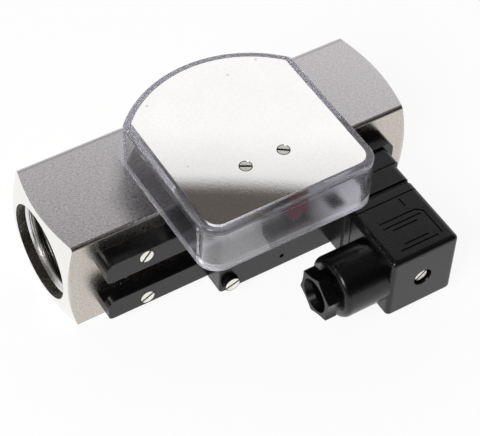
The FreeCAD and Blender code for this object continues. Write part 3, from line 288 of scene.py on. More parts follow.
bar_grain = {
    "Stretch": (0.5, 1.0, 1.0),
    "Fineness": 2000.0,
    "Cloud": 1300.0,
    "Dark": BAR_DARK,
    "Light": BAR_LIGHT,
    "Smooth": 0.23,
    "Rough": 0.35,
}
bar_steel, tree, shader, place, grain = grained_finish("bar_steel", bar_grain, Metallic=1.0)
rings = add_effect(tree, TURNED_RINGS, Place=place, Centre=BAR_AXIS, Axis=ALONG_BAR, Fineness=2500.0)
wear = add_effect(
    tree, EDGE_WEAR, Place=place, Middle=BAR_AXIS, Half=BAR_HALF, Width=0.0018, Fineness=300.0
)
normal = add_node(tree, "ShaderNodeTexCoord").outputs["Normal"]
facing = split(tree, compute_vector(tree, "ABSOLUTE", normal))
end_face = map_range(tree, facing["X"], *END_FACING)
long_face = compute(tree, "SUBTRACT", 1.0, end_face)
in_bore = map_range(tree, rings["Distance"], BORE_RADIUS, BORE_RADIUS + BORE_SOFT, 1.0, 0.0)
# Painted reflection tint by the way a face looks: warm on the sides, cool on the top
reflection_tint = mix_colours(tree, map_range(tree, facing["Z"], *REFLECTION_TINT_FACING), BAR_WARM, BAR_COOL)
colour = mix_colours(tree, 1.0, grain["Colour"], reflection_tint, "MULTIPLY")
colour = mix_colours(tree, compute(tree, "MULTIPLY", wear["Share"], WEAR_SHARE), colour, BAR_EDGE)

spot = split(tree, place)
# A thin dark line painted near the back edge of the top, darkening the rounded edge's reflection
from_line = compute(tree, "ABSOLUTE", compute(tree, "SUBTRACT", spot["Y"], LINE_PLACE))
line = map_range(tree, from_line, *LINE_HALF, LINE_SHARE, 0.0)
# Painted shade and reflection, darkening the top towards the cover's left wall
past_bend = compute(tree, "MAXIMUM", compute(tree, "SUBTRACT", spot["Y"], SHADE_BEND), 0.0)
shade_place = compute(tree, "SUBTRACT", spot["X"], compute(tree, "MULTIPLY", past_bend, SHADE_LEAN))
cover_shade = map_range(tree, shade_place, SHADE_LEFT, SHADE_RIGHT, 0.0, SHADE_SHARE)
cover_shade = compute(tree, "MULTIPLY", cover_shade, compute(tree, "LESS_THAN", spot["X"], cover_low[0]))
cover_shade = compute(tree, "MULTIPLY", cover_shade, map_range(tree, facing["Z"], *SHADE_FACING))
# Painted dark reflection: a thin dark line on the half of each rounded long edge that turns to the front or
# back
rounded = map_range(tree, compute(tree, "MULTIPLY", facing["Y"], facing["Z"]), *ROUNDED_FACING)
low_half = map_range(tree, facing["Z"], *LOW_HALF_FACING, 1.0, 0.0)
edge_line = compute(tree, "MULTIPLY", rounded, low_half)
# All the bar's painted shade and reflection in one share
painted_shade = compute(tree, "MAXIMUM", edge_line, compute(tree, "MAXIMUM", line, cover_shade))
colour = mix_colours(tree, painted_shade, colour, BAR_PAINTED_SHADE)
# The bore is painted dark, as shade
colour = mix_colours(tree, in_bore, colour, BORE_SHADE)
colour = mix_colours(tree, end_face, colour, END_BRIGHT)
tree.links.new(colour, shader.inputs["Base Color"])
ring_height = compute(tree, "MULTIPLY", rings["Height"], end_face)
height = compute(tree, "ADD", ring_height, compute(tree, "MULTIPLY", grain["Height"], long_face))
raise_surface(tree, shader, height, BAR_GRAIN_DEPTH)
dress(bar_steel, "meter_body")

# Port threads
# Each port carries a parallel pipe thread, cut after boring, with a bright countersunk start at the plain
# mouth. The ridges line the bore from the countersink to the shoulder that the guide discs sit on. The
# thread's steel is painted dark, and darker still in its roots, as shade inside the port.
THREAD_PITCH = 0.002309
THREAD_ROOT = 0.01658
THREAD_CREST = 0.01512
THREAD_WALL = 0.01661
THREAD_START = 0.06305
THREAD_END = 0.0484
SINK_DEPTH = 0.0011
FULL_DEPTH = 0.0042
FLANK_SLOPE = 1.3
CREST_SHARE = 0.15
FLANK_ROUNDING = 0.4
TURN_POINTS = 160
ALONG_POINTS = 151
THREAD_BRIGHT = (0.88, 0.87, 0.88, 1)
THREAD_ROOT_SHADE = (0.12, 0.11, 0.10, 1)
CREST_MARGIN = 0.0003
MOUTH_SHARES = (0.95, 0.80)


def add_piece(name, points, faces, smooth=0):
    """A mesh object from an array of points and a list of faces, the first few of them shaded smoothly."""
    mesh = bpy.data.meshes.new(name)
    mesh.from_pydata(points.reshape(-1, 3).tolist(), [], faces)
    mesh.polygons.foreach_set("use_smooth", np.arange(len(faces)) < smooth)
    piece = bpy.data.objects.new(name, mesh)
    scene.collection.objects.link(piece)
    return piece


def closed_grid(name, points, flip=False):
    """A mesh object from a grid of points that closes both ways, with quads between neighbours."""
    rows, columns = points.shape[:2]
    index = np.arange(rows * columns).reshape(rows, columns)
    right = np.roll(index, -1, axis=0)
    quads = np.stack([index, right, np.roll(right, -1, axis=1), np.roll(index, -1, axis=1)], axis=-1)
    quads = quads.reshape(-1, 4)
    if flip:
        quads = quads[:, ::-1]
    return add_piece(name, points, quads.tolist(), smooth=len(quads))


def thread_ring(name, side):
    """A closed ring of thread about the bar's axis, on a grid of turn angle and place along the axis.

    The radius goes between root and crest as a rounded triangle wave of place over pitch less turn over a
    full circle. A countersink and a slow cone at the mouth and a run-out at the far end cut the ridges
    off, and the outer wall closes the ring.
    """
    turns = np.linspace(0, 2 * np.pi, TURN_POINTS, endpoint=False)
    along = np.linspace(THREAD_START, THREAD_END, ALONG_POINTS) * side
    turn, x = np.meshgrid(turns, along, indexing="ij")
    phase = np.mod(x / THREAD_PITCH - turn / (2 * np.pi), 1.0)
    wave = np.clip(np.abs(phase * 2 - 1) * FLANK_SLOPE - CREST_SHARE, 0, 1)
    wave = wave * wave * (3 - 2 * wave) * FLANK_ROUNDING + wave * (1 - FLANK_ROUNDING)
    height = THREAD_ROOT - THREAD_CREST
    radius = THREAD_CREST + height * wave
    lead_depths = [0, SINK_DEPTH, FULL_DEPTH]
    lead_radii = [THREAD_ROOT, THREAD_ROOT - SINK_DEPTH, THREAD_CREST]
    lead = np.interp(THREAD_START - np.abs(x), lead_depths, lead_radii)
    run_out = THREAD_ROOT - np.clip(np.abs(x) - THREAD_END, 0, height)
    radius = np.maximum(radius, np.maximum(lead, run_out))
    radius = np.concatenate([radius, np.full_like(radius[:, :2], THREAD_WALL)], axis=1)
    x = np.concatenate([x, x[:, -1:], x[:, :1]], axis=1)
    turn = np.concatenate([turn, turn[:, :2]], axis=1)
    y = radius * np.cos(turn) + BAR_AXIS[1]
    z = radius * np.sin(turn) + BAR_AXIS[2]
    return closed_grid(name, np.stack([x, y, z], axis=-1), flip=side < 0)


# The thread's steel is painted dark, as shade inside the port
thread_grain = {
    "Fineness": 1500.0,
    "Cloud": 120.0,
    "Dark": (0.24, 0.225, 0.21, 1),
    "Light": (0.48, 0.455, 0.43, 1),
    "Smooth": 0.24,
    "Rough": 0.38,
}
thread_steel, tree, shader, place, grain = grained_finish(
    "thread_steel", thread_grain, depth=0.00001, Metallic=1.0
)
rings = add_effect(tree, TURNED_RINGS, Place=place, Centre=BAR_AXIS, Axis=ALONG_BAR, Fineness=3000.0)
# Painted shade in the thread's roots
in_root = map_range(tree, rings["Distance"], THREAD_CREST + CREST_MARGIN, THREAD_ROOT)
from_middle = compute(tree, "ABSOLUTE", split(tree, place)["X"])
mouth_start, mouth_full = (THREAD_START - SINK_DEPTH * share for share in MOUTH_SHARES)
at_mouth = map_range(tree, from_middle, mouth_start, mouth_full)
colour = mix_colours(tree, in_root, grain["Colour"], THREAD_ROOT_SHADE)
tree.links.new(mix_colours(tree, at_mouth, colour, THREAD_BRIGHT), shader.inputs["Base Color"])
for name, side in (("inlet_thread", -1), ("outlet_thread", 1)):
    piece = thread_ring(name, side)
    piece.data.materials.append(thread_steel)
    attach(piece, "meter")

# Flow path and float
# Inside the bar are turned steel discs, a rod, a sharp orifice ring and the float, with a sintered ring
# magnet on it. Open rings of spring wire hold the discs in the bore.


def dress_grained(name, grain, depth, nodes, **values):
    """Dress CAD nodes in a finish that has the surface grain alone, and give its material."""
    material = grained_finish(name, grain, depth, **values)[0]
    dress(material, *nodes)
    return material


turned_grain = {
    "Fineness": 1800.0,
    "Cloud": 150.0,
    "Dark": (0.50, 0.49, 0.48, 1),
    "Light": (0.68, 0.67, 0.66, 1),
    "Smooth": 0.22,
    "Rough": 0.34,
}
turned_steel, tree, shader, place, grain = grained_finish("turned_steel", turned_grain, Metallic=1.0)
rings = add_effect(tree, TURNED_RINGS, Place=place, Centre=BAR_AXIS, Axis=ALONG_BAR, Fineness=4000.0)
raise_surface(tree, shader, rings["Height"], depth=0.000012)
dress(turned_steel, "orifice_ring", "inlet_guide", "outlet_guide", "guide_rod")
dress(turned_steel, "float_cone", "magnet_nut")

wire_grain = {
    "Fineness": 3000.0,
    "Cloud": 300.0,
    "Dark": (0.30, 0.30, 0.31, 1),
    "Light": (0.50, 0.50, 0.51, 1),
    "Smooth": 0.25,
    "Rough": 0.40,
}
wire_nodes = ("retaining_rings", "pivot_clip")
spring_steel = dress_grained("spring_steel", wire_grain, depth=0.000008, nodes=wire_nodes, Metallic=1.0)

magnet_grain = {
    "Fineness": 4500.0,
    "Cloud": 200.0,
    "Dark": (0.06, 0.06, 0.06, 1),
    "Light": (0.15, 0.15, 0.15, 1),
    "Smooth": 0.50,
    "Rough": 0.70,
}
magnet_nodes = ("float_magnet", "follower_magnet")
dress_grained("sintered_magnet", magnet_grain, depth=0.00003, nodes=magnet_nodes, Metallic=0.6)

# Return spring
# A coil of round drawn steel wire, wound about the rod between the float's nut and the outlet disc. It
# stands on the disc and shortens towards it as the flow pushes the float along; here it is one fixed coil
# on the meter's body.
COIL_RADIUS = 0.0055
COIL_TURNS = 7
WIRE_RADIUS = 0.0005
WIRE_POINTS = 12
POINTS_PER_TURN = 40


def wire_coil(name, low, high):
    """A round wire wound about the bar's axis from the low to the high place on it, with flat cut ends.

    The wire's middle goes round at one radius while it moves on evenly. About it stands a circle of the
    wire's radius, in the plane of the outward direction and the direction across the wire.
    """
    turn = np.linspace(0, 2 * np.pi * COIL_TURNS, COIL_TURNS * POINTS_PER_TURN + 1)
    still = np.zeros_like(turn)
    outward = np.stack([still, np.sin(turn), -np.cos(turn)], axis=-1)
    middle = np.array(BAR_AXIS) + COIL_RADIUS * outward
    middle[:, 0] = np.linspace(low, high, len(turn))
    rise = (high - low) / turn[-1]
    along = np.stack([still + rise, COIL_RADIUS * np.cos(turn), COIL_RADIUS * np.sin(turn)], axis=-1)
    along /= np.linalg.norm(along, axis=1)[:, None]
    across = np.cross(along, outward)
    round_wire = np.linspace(0, 2 * np.pi, WIRE_POINTS, endpoint=False)[None, :, None]
    circle = np.cos(round_wire) * outward[:, None] + np.sin(round_wire) * across[:, None]
    points = middle[:, None] + WIRE_RADIUS * circle
    index = np.arange(points.size // 3).reshape(points.shape[:2])
    beside = np.roll(index, -1, axis=1)
    quads = np.stack([index[:-1], index[1:], beside[1:], beside[:-1]], axis=-1).reshape(-1, 4)
    ends = [index[0].tolist(), index[-1, ::-1].tolist()]
    return add_piece(name, points, quads.tolist() + ends, smooth=len(quads))


solid_low, solid_high = (corner[0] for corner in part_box("return_spring"))
coil = wire_coil("spring_wire", solid_low + WIRE_RADIUS, solid_high - WIRE_RADIUS)
coil.data.materials.append(spring_steel)
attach(coil, "meter")
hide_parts("return_spring")
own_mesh(coil)

# Indicator base, pillars and follower
# A base plate on the bar carries two aged brass pillars and a steel pivot pin. A dark moulded lever turns
# on the pin, with a magnet over the float at one end and a red flag at the other. Light and shade are
# painted on the plate: dark along its left side, pale behind and to the right, and brown-black painted
# shadows in front where the lever sweeps.
BASE_PAINTED_SHADE = (0.02, 0.02, 0.022, 1)
BASE_PAINTED_LIGHT = (0.95, 0.93, 0.92, 1)
BASE_SHADOW_BROWN = (0.026, 0.018, 0.012, 1)

# Where each painted tone of the base plate starts and is full, and each painted shadow's two ends and soft
# edge
PALE_RIGHT = (0.006, 0.022)
PALE_BEHIND = (-0.0415, -0.0385)
DARK_LEFT = (-0.024, -0.018)
DARK_BEHIND = (-0.043, -0.036)
SHADOW_FRONT = (-0.0485, -0.0455)
PAINTED_SHADOWS = ((-0.011, 0.0105, 0.0045), (0.0145, 0.023, 0.003))

sheet_grain = {
    "Stretch": (1.0, 0.08, 1.0),
    "Fineness": 3200.0,
    "Cloud": 60.0,
    "Dark": (0.17, 0.16, 0.15, 1),
    "Light": (0.25, 0.235, 0.22, 1),
    "Smooth": 0.35,
    "Rough": 0.50,
}
sheet_metal, tree, shader, place, grain = grained_finish(
    "sheet_metal", sheet_grain, depth=0.000006, Metallic=0.4
)
spot = split(tree, place)
# Painted light on the plate behind and to the right
pale_right = map_range(tree, spot["X"], *PALE_RIGHT)
pale_behind = map_range(tree, spot["Y"], *PALE_BEHIND)
pale = compute(tree, "MAXIMUM", pale_right, pale_behind)
colour = mix_colours(tree, pale, grain["Colour"], BASE_PAINTED_LIGHT)
# Brown-black painted shadows in front, where the lever sweeps
shadow_strip = map_range(tree, spot["Y"], *SHADOW_FRONT)
shadow_strip = compute(tree, "SUBTRACT", shadow_strip, pale_behind, clamp=True)
for left, right, soft in PAINTED_SHADOWS:
    shadow_patch = compute(tree, "MULTIPLY", map_range(tree, spot["X"], left, left + soft), shadow_strip)
    shadow_patch = compute(tree, "MULTIPLY", shadow_patch, map_range(tree, spot["X"], right - soft, right, 1.0, 0.0))
    colour = mix_colours(tree, shadow_patch, colour, BASE_SHADOW_BROWN)
# Painted shade along the plate's left side
dark_left = map_range(tree, spot["X"], *DARK_LEFT, 1.0, 0.0)
dark = compute(tree, "MULTIPLY", dark_left, map_range(tree, spot["Y"], *DARK_BEHIND))
tree.links.new(mix_colours(tree, dark, colour, BASE_PAINTED_SHADE), shader.inputs["Base Color"])
dress(sheet_metal, "indicator_base")

brass_grain = {
    "Stretch": (1.0, 1.0, 6.0),
    "Fineness": 1500.0,
    "Cloud": 300.0,
    "Dark": (0.26, 0.19, 0.10, 1),
    "Light": (0.40, 0.30, 0.17, 1),
    "Smooth": 0.24,
    "Rough": 0.36,
}
brass_nodes = ("pillars", "contact_blades")
dress_grained("turned_brass", brass_grain, depth=0.000008, nodes=brass_nodes, Metallic=1.0)
dress(turned_steel, "pivot_pin")

lever_grain = {
    "Fineness": 3000.0,
    "Cloud": 120.0,
    "Dark": (0.022, 0.022, 0.024, 1),
    "Light": (0.045, 0.045, 0.048, 1),
    "Smooth": 0.45,
    "Rough": 0.60,
}
dress_grained("dark_moulding", lever_grain, depth=0.00002, nodes=("follower_lever", "terminal_insert"))

# The flag's red is painted dark, as shade inside the cover
flag_grain = {
    "Fineness": 2500.0,
    "Cloud": 150.0,
    "Dark": (0.08, 0.005, 0.008, 1),
    "Light": (0.14, 0.009, 0.013, 1),
    "Smooth": 0.28,
    "Rough": 0.40,
}
dress_grained("red_moulding", flag_grain, depth=0.00001, nodes=("follower_flag",))

# Dial plate
# A bare plate of bright sheet metal lies in the recess of the cover's top. It is almost a mirror, with a
# soft grain and a few specks left from handling, and its underside is painted dark as shade.
SPECK_TONE = (0.70, 0.69, 0.68, 1)
SPECK_CELLS = 95.0
SPECK_EDGE = (0.03, 0.06)
SPECK_CHOICE = (0.80, 0.81)
PLATE_UNDER_SHADE = (0.05, 0.05, 0.052, 1)
UNDER_FACING = (-0.5, 0.0)

plate_grain = {
    "Stretch": (1.0, 0.6, 1.0),
    "Fineness": 1500.0,
    "Cloud": 70.0,
    "Dark": (0.925, 0.91, 0.90, 1),
    "Light": (0.985, 0.98, 0.975, 1),
    "Smooth": 0.015,
    "Rough": 0.03,
}
plate_metal, tree, shader, place, grain = grained_finish(
    "plate_metal", plate_grain, depth=0.000001, Metallic=1.0
)
settings = {"Vector": place, "Scale": SPECK_CELLS}
specks = add_node(tree, "ShaderNodeTexVoronoi", settings, voronoi_dimensions="2D").outputs
dot = map_range(tree, specks["Distance"], *SPECK_EDGE, 1.0, 0.0)
few = map_range(tree, split(tree, specks["Color"])["X"], *SPECK_CHOICE)
colour = mix_colours(tree, compute(tree, "MULTIPLY", dot, few), grain["Colour"], SPECK_TONE)
facing = split(tree, add_node(tree, "ShaderNodeTexCoord").outputs["Normal"])
# The underside is painted dark, as shade
under = map_range(tree, facing["Z"], *UNDER_FACING, 1.0, 0.0)
tree.links.new(mix_colours(tree, under, colour, PLATE_UNDER_SHADE), shader.inputs["Base Color"])
dress(plate_metal, "dial_plate")

# Clear cover
# One clear moulding with thick walls, rounded front corners and a polished rim about the plate. Its walls
# shade as if they leaned out a little, as a moulding's do. Its foot and the underside of its top are matt,
# and the inner faces of its front and back are a little hazy.
WALL_HAZE = 0.22
ROOF_HAZE = 0.35
FOOT_ROUGHNESS = 0.6
WALL_DRAFT = 0.1
COVER_SHADOW = (0.92, 0.925, 0.94, 1)
FLAT_FACING = (0.2, 0.6)
FRONT_BACK_FACING = (0.6, 0.95)
ARC_CENTRE = (0.0, -0.025, 0.0)
ARC_RADIUS = 0.0434
ROOF_THICKNESS = 0.0034

# A depth in the wall that parts its outer faces from its inner ones, and margins about level faces
IN_WALL = 0.0022
FOOT_MARGIN = 0.00015
FACE_MARGIN = 0.0001

cover_grain = {
    "Fineness": 500.0,
    "Cloud": 60.0,
    "Dark": (0.92, 0.92, 0.99, 1),
    "Light": (0.95, 0.95, 1.0, 1),
    "Smooth": 0.0,
    "Rough": 0.015,
}
clear_plastic, tree, shader, place, grain = grained_finish(
    "clear_plastic", cover_grain, Transmission_Weight=0.988, IOR=1.49
)
normal = add_node(tree, "ShaderNodeTexCoord").outputs["Normal"]
facing = split(tree, compute_vector(tree, "ABSOLUTE", normal))
level_place = compute_vector(tree, "MULTIPLY", place, (1.0, 1.0, 0.0))
arm = compute_vector(tree, "SUBTRACT", level_place, ARC_CENTRE)
outward = compute(tree, "SIGN", compute_vector(tree, "DOT_PRODUCT", arm, normal))
upright = map_range(tree, facing["Z"], *FLAT_FACING, -WALL_DRAFT, 0.0)
lean = compute(tree, "MULTIPLY", outward, upright)
tip = add_node(tree, "ShaderNodeCombineXYZ", {"Z": lean}).outputs[0]
leaning = compute_vector(tree, "NORMALIZE", compute_vector(tree, "ADD", normal, tip))
raise_surface(tree, shader, grain["Height"], depth=0.000002, normal=leaning)

spot = split(tree, place)
from_centre = compute_vector(tree, "LENGTH", arm)
in_sides = compute(tree, "LESS_THAN", compute(tree, "ABSOLUTE", spot["X"]), cover_high[0] - IN_WALL)
in_front = compute(tree, "GREATER_THAN", spot["Y"], cover_low[1] + IN_WALL)
in_arc = compute(tree, "LESS_THAN", from_centre, ARC_RADIUS - IN_WALL)
inside = compute(tree, "MULTIPLY", compute(tree, "MULTIPLY", in_sides, in_front), in_arc)
front_or_back = map_range(tree, facing["Y"], *FRONT_BACK_FACING)
wall_haze = compute(tree, "MULTIPLY", inside, compute(tree, "MULTIPLY", front_or_back, WALL_HAZE))
from_roof = compute(tree, "SUBTRACT", spot["Z"], cover_high[2] - ROOF_THICKNESS)
roof_under = compute(tree, "LESS_THAN", compute(tree, "ABSOLUTE", from_roof), FACE_MARGIN)
roof_haze = compute(tree, "MULTIPLY", roof_under, ROOF_HAZE)
foot_top = cover_low[2] + FOOT_MARGIN
foot_haze = map_range(tree, spot["Z"], foot_top, foot_top + FACE_MARGIN, FOOT_ROUGHNESS, 0.0)
haze = compute(tree, "MAXIMUM", compute(tree, "MAXIMUM", wall_haze, roof_haze), foot_haze)
tree.links.new(compute(tree, "ADD", grain["Roughness"], haze), shader.inputs["Roughness"])

lit_through = add_node(tree, "ShaderNodeBsdfTransparent", {"Color": COVER_SHADOW})
light_path = add_node(tree, "ShaderNodeLightPath").outputs
inputs = {0: light_path["Is Shadow Ray"], 1: shader.outputs[0], 2: lit_through.outputs[0]}
let_light = add_node(tree, "ShaderNodeMixShader", inputs)
tree.links.new(let_light.outputs[0], tree.nodes["Material Output"].inputs["Surface"])
dress(clear_plastic, "clear_cover")

# Slotted screws
# Nickel-plated screws with slotted heads hold the base plate to the bar, and the dial plate and the cover
# to the pillars. Their faces are turned, and shade is painted dark in the slots and round the heads.
NICKEL_GRAIN = {
    "Fineness": 2500.0,
    "Cloud": 400.0,
    "Dark": (0.78, 0.755, 0.70, 1),
    "Light": (0.95, 0.935, 0.88, 1),
    "Smooth": 0.20,
    "Rough": 0.32,
}
SCREW_SHADE = (0.028, 0.026, 0.024, 1)
SHADE_ROUGHNESS = 0.3
SLOT_SHADE_DEPTHS = (0.00012, 0.0003)
RIM_START = 0.0003
RIM_FULL = 0.0001
HEAD_RADII = {
    "cover_screws": 0.0022,
    "base_screws": 0.0027,
    "rail_screws": 0.0027,
    "clamp_screw": 0.0029,
    "cap_screw": 0.0025,
}
UPWARD = (0.0, 0.0, 1.0)
FORWARD = (0.0, -1.0, 0.0)


def make_head_marks():
    """For a group of like screws, the distance from the nearest one's axis and the depth under its face.

    The place is folded about the middle of the group, so that all its screws fall on one. The height is
    rings of noise about that axis.
    """
    inputs = {
        "Place": "Vector",
        "Middle": "Vector",
        "Offset": "Vector",
        "Across": "Vector",
        "Outward": "Vector",
        "Face": "Float",
    }
    outputs = {"Radius": "Float", "Depth": "Float", "Height": "Float"}
    tree, given, result = new_effect("head_marks", inputs, outputs)
    from_middle = compute_vector(tree, "SUBTRACT", given["Place"], given["Middle"])
    arm = compute_vector(tree, "SUBTRACT", compute_vector(tree, "ABSOLUTE", from_middle), given["Offset"])
    radius = compute_vector(tree, "LENGTH", compute_vector(tree, "MULTIPLY", arm, given["Across"]))
    tree.links.new(radius, result["Radius"])
    reach = compute_vector(tree, "DOT_PRODUCT", given["Place"], given["Outward"])
    tree.links.new(compute(tree, "SUBTRACT", given["Face"], reach), result["Depth"])
    settings = {"W": radius, "Scale": 9000.0, "Detail": 2.0}
    rings = add_node(tree, "ShaderNodeTexNoise", settings, noise_dimensions="1D")
    tree.links.new(rings.outputs["Fac"], result["Height"])
    return tree


HEAD_MARKS = make_head_marks()


def dress_screws(name, outward):
    """Nickel for a group of slotted screws that face one way, with shade painted in slots and round heads.
    """
    low, high = node_box(name)
    head_radius = HEAD_RADII[name]
    outward = np.array(outward)
    across = 1.0 - np.abs(outward)
    offset = ((high - low) / 2 - head_radius) * across
    face = max(outward @ low, outward @ high)
    material, tree, shader, place, grain = grained_finish(f"{name}_nickel", NICKEL_GRAIN, Metallic=1.0)
    marks = add_effect(
        tree,
        HEAD_MARKS,
        Place=place,
        Middle=tuple((low + high) / 2),
        Offset=tuple(offset),
        Across=tuple(across),
        Outward=tuple(outward),
        Face=float(face),
    )
    # Painted shade in the slots and round the heads
    deep = map_range(tree, marks["Depth"], *SLOT_SHADE_DEPTHS)
    rim = map_range(tree, marks["Radius"], head_radius - RIM_START, head_radius - RIM_FULL)
    painted_shade = compute(tree, "MAXIMUM", deep, rim)
    tree.links.new(mix_colours(tree, painted_shade, grain["Colour"], SCREW_SHADE), shader.inputs["Base Color"])
    rough = compute(tree, "ADD", grain["Roughness"], compute(tree, "MULTIPLY", painted_shade, SHADE_ROUGHNESS))
    tree.links.new(rough, shader.inputs["Roughness"])
    raise_surface(tree, shader, marks["Height"], depth=0.000006)
    dress(material, name)


dress_screws("cover_screws", UPWARD)
dress_screws("base_screws", UPWARD)

# Guide rails
# Two rails moulded in black plastic are held to the bar's front by slotted countersunk screws. Their inner
# edges are undercut, so that the switch housing's tongue runs between them.
BLACK_GRAIN = {
    "Fineness": 3500.0,
    "Cloud": 110.0,
    "Dark": (0.003, 0.003, 0.0032, 1),
    "Light": (0.006, 0.006, 0.0064, 1),
    "Smooth": 0.20,
    "Rough": 0.30,
}
WORN_BLACK = (0.022, 0.022, 0.023, 1)


def dress_black(name, shine=0.43):
    """Grained black plastic for one moulding, rubbed a little paler along the edges of its box."""
    low, high = node_box(name)
    material, tree, shader, place, grain = grained_finish(
        f"{name}_black", BLACK_GRAIN, depth=0.000015, Specular_IOR_Level=shine
    )
    wear = add_effect(
        tree,
        EDGE_WEAR,
        Place=place,
        Middle=tuple((low + high) / 2),
        Half=tuple((high - low) / 2),
        Width=0.0007,
        Fineness=900.0,
    )
    colour = mix_colours(tree, wear["Share"], grain["Colour"], WORN_BLACK)
    tree.links.new(colour, shader.inputs["Base Color"])
    dress(material, name)


for rail in ("upper_rail", "lower_rail"):
    dress_black(rail)
dress_screws("rail_screws", FORWARD)

# Switch housing
# The black moulded housing slides on the rails by its tongue and holds the glass reed switch. A slotted
# screw with a proud head at its lower corner locks it on the rail.
dress_black("switch_housing")
dress_screws("clamp_screw", FORWARD)

reed_grain = {
    "Fineness": 1500.0,
    "Cloud": 200.0,
    "Dark": (0.70, 0.82, 0.76, 1),
    "Light": (0.82, 0.90, 0.86, 1),
    "Smooth": 0.05,
    "Rough": 0.12,
}
dress_grained(
    "reed_glass", reed_grain, depth=0.000005, nodes=("reed_switch",), Transmission_Weight=0.8, IOR=1.5
)

# Cable plug and gland
# The plug's square base stands on the housing. A rubber gasket and a moulded cap sit on it, held by one
# long screw, and the cap's collar takes the gland's seal, washer and nut.
for moulding in ("plug_base", "plug_cap"):
    dress_black(moulding)
dress_black("gland_nut", shine=0.2)
dress_screws("cap_screw", FORWARD)
dress_grained("washer_nickel", NICKEL_GRAIN, depth=0.00001, nodes=("gland_washer",), Metallic=1.0)

rubber_grain = {
    "Fineness": 2200.0,
    "Cloud": 150.0,
    "Dark": (0.008, 0.008, 0.008, 1),
    "Light": (0.018, 0.018, 0.018, 1),
    "Smooth": 0.60,
    "Rough": 0.80,
}
dress_grained("black_rubber", rubber_grain, depth=0.00003, nodes=("plug_gasket", "gland_seal"))

# Studio
# A white floor and bright walls behind and to the right, with a dark ceiling, left and front, as in a light
# tent. One soft lamp from the front left lights the corners on that side.
FLOOR_HALF = 3.0
FLOOR_GAP = 0.0001
FLOOR_POINTS = 9
PAPER_TONE = (0.8, 0.8, 0.8, 1)
FLOOR_GLOW = 0.90
FLOOR_SHADE = (0.16, 0.16, 0.16, 1)
WHITE = (1.0, 1.0, 1.0, 1)
CEILING = (0.105, 0.094, 0.087, 1)
DARK_FRONT = (0.016, 0.015, 0.014, 1)

# Heights are sines of the angle above the floor: where the walls end, and from where they fade a little. The
# bright side and the dark front come in over ranges of a direction's share along a heading.
WALL_TOP = 0.7468
WALL_TOP_SOFT = 0.004
WALL_FADE = 0.722
FADED_WALL = 0.80
BRIGHT_HEADING = (0.5, 0.85, 0.0)
BRIGHT_EDGE = (0.12, 0.4)
FRONT_EDGE = (-0.75, -0.35)
FRONT_RISE = (0.1, 0.35)


def floor_sheet():
    """A flat square grid just under the bar's bottom face."""
    line = np.linspace(-FLOOR_HALF, FLOOR_HALF, FLOOR_POINTS)
    x, y = np.meshgrid(line, line, indexing="ij")
    points = np.stack([x, y, np.full_like(x, -FLOOR_GAP)], axis=-1)
    index = np.arange(x.size).reshape(x.shape)
    quads = np.stack([index[:-1, :-1], index[1:, :-1], index[1:, 1:], index[:-1, 1:]], axis=-1)
    return add_piece("floor", points, quads.reshape(-1, 4).tolist())


floor = floor_sheet()
floor_paper = bpy.data.materials.new("floor_paper")
floor_paper.use_nodes = True
tree = floor_paper.node_tree
tree.nodes.remove(tree.nodes["Principled BSDF"])
paper = add_node(tree, "ShaderNodeBsdfDiffuse", {"Color": PAPER_TONE})
glow = add_node(tree, "ShaderNodeEmission", {"Color": WHITE, "Strength": FLOOR_GLOW})
shade = add_node(tree, "ShaderNodeBsdfDiffuse", {"Color": FLOOR_SHADE})
seen_paper = add_node(tree, "ShaderNodeAddShader", {0: glow.outputs[0], 1: shade.outputs[0]})
light_path = add_node(tree, "ShaderNodeLightPath").outputs
seen = compute(tree, "ADD", light_path["Is Camera Ray"], light_path["Is Glossy Ray"])
seen = compute(tree, "ADD", seen, light_path["Is Transmission Ray"], clamp=True)
either = add_node(tree, "ShaderNodeMixShader", {0: seen, 1: paper.outputs[0], 2: seen_paper.outputs[0]})
tree.links.new(either.outputs[0], tree.nodes["Material Output"].inputs["Surface"])
floor.data.materials.append(floor_paper)

tent = bpy.data.worlds.new("tent")
scene.world = tent
tent.use_nodes = True
tree = tent.node_tree
direction = add_node(tree, "ShaderNodeTexCoord").outputs["Generated"]
heading = split(tree, direction)
below = map_range(tree, heading["Z"], WALL_TOP - WALL_TOP_SOFT, WALL_TOP + WALL_TOP_SOFT, 1.0, 0.0)
towards_bright = compute_vector(tree, "DOT_PRODUCT", direction, BRIGHT_HEADING)
wall = compute(tree, "MULTIPLY", below, map_range(tree, towards_bright, *BRIGHT_EDGE))
fade = map_range(tree, heading["Z"], WALL_FADE, WALL_TOP, 1.0, FADED_WALL)
wall = compute(tree, "MULTIPLY", wall, fade)
light_path = add_node(tree, "ShaderNodeLightPath").outputs
seen = compute(tree, "ADD", light_path["Is Camera Ray"], light_path["Is Transmission Ray"], clamp=True)
bright = compute(tree, "MAXIMUM", wall, compute(tree, "MULTIPLY", seen, below))
in_front = map_range(tree, heading["Y"], *FRONT_EDGE, 1.0, 0.0)
in_front = compute(tree, "MULTIPLY", in_front, map_range(tree, heading["Z"], *FRONT_RISE))
dark_part = mix_colours(tree, in_front, CEILING, DARK_FRONT)
tent_colour = mix_colours(tree, bright, dark_part, WHITE)
tree.links.new(tent_colour, tree.nodes["Background"].inputs["Color"])
tree.nodes["Background"].inputs["Strength"].default_value = 1.0


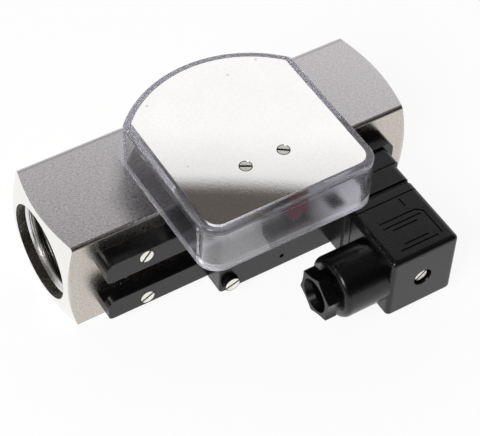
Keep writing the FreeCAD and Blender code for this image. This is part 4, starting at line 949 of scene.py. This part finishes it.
def look_matrix(place, aim, roll=0.0):
    """The matrix of a lamp or camera at a place that looks at the aim, rolled about its line of sight.

    Its third axis points from the aim back to the place, its first axis is level before the roll, and its
    second is square to both.
    """
    back = np.array(place) - np.array(aim)
    back = back / np.linalg.norm(back)
    right = np.cross((0, 0, 1), back)
    right = right / np.linalg.norm(right)
    up = np.cross(back, right)
    matrix = np.eye(4)
    matrix[:3, 0] = math.cos(roll) * right + math.sin(roll) * up
    matrix[:3, 1] = math.cos(roll) * up - math.sin(roll) * right
    matrix[:3, 2] = back
    matrix[:3, 3] = place
    return Matrix(matrix.tolist())


def add_softbox(name, place, aim, size, power):
    """A square area lamp at a place, turned to face the aim."""
    lamp = bpy.data.lights.new(name, "AREA")
    lamp.shape = "SQUARE"
    lamp.size = size
    lamp.energy = power
    box = bpy.data.objects.new(name, lamp)
    box.matrix_world = look_matrix(place, aim)
    scene.collection.objects.link(box)


add_softbox("front_lamp", place=(-0.75, -0.45, 0.75), aim=(0.0, 0.0, 0.03), size=0.4, power=6.0)

# Camera
# It stands where the photograph was taken from, found from the bar's corners and the port's ellipse. Its
# focal length is in pixels of the photograph.
PHOTO_WIDTH = 480
FOCAL_PIXELS = 1653.742
SENSOR_WIDTH = 36.0
AZIMUTH = math.radians(-33.126)
ELEVATION = math.radians(49.503)
ROLL = math.radians(2.41)
TARGET = np.array([0.012069, 0.0, -0.009022])
DISTANCE = 0.600218

level = math.cos(ELEVATION)
back = np.array([math.sin(AZIMUTH) * level, -math.cos(AZIMUTH) * level, math.sin(ELEVATION)])
lens = bpy.data.cameras.new("photo_camera")
lens.sensor_width = SENSOR_WIDTH
lens.lens = FOCAL_PIXELS * SENSOR_WIDTH / PHOTO_WIDTH
camera = bpy.data.objects.new("photo_camera", lens)
camera.matrix_world = look_matrix(TARGET + back * DISTANCE, TARGET, ROLL)
scene.collection.objects.link(camera)
scene.camera = camera
scene.view_settings.view_transform = "Standard"

# Light crosses the clear wall many times before it comes out again, so its paths may be long
scene.cycles.max_bounces = 24
scene.cycles.glossy_bounces = 16
scene.cycles.transmission_bounces = 24
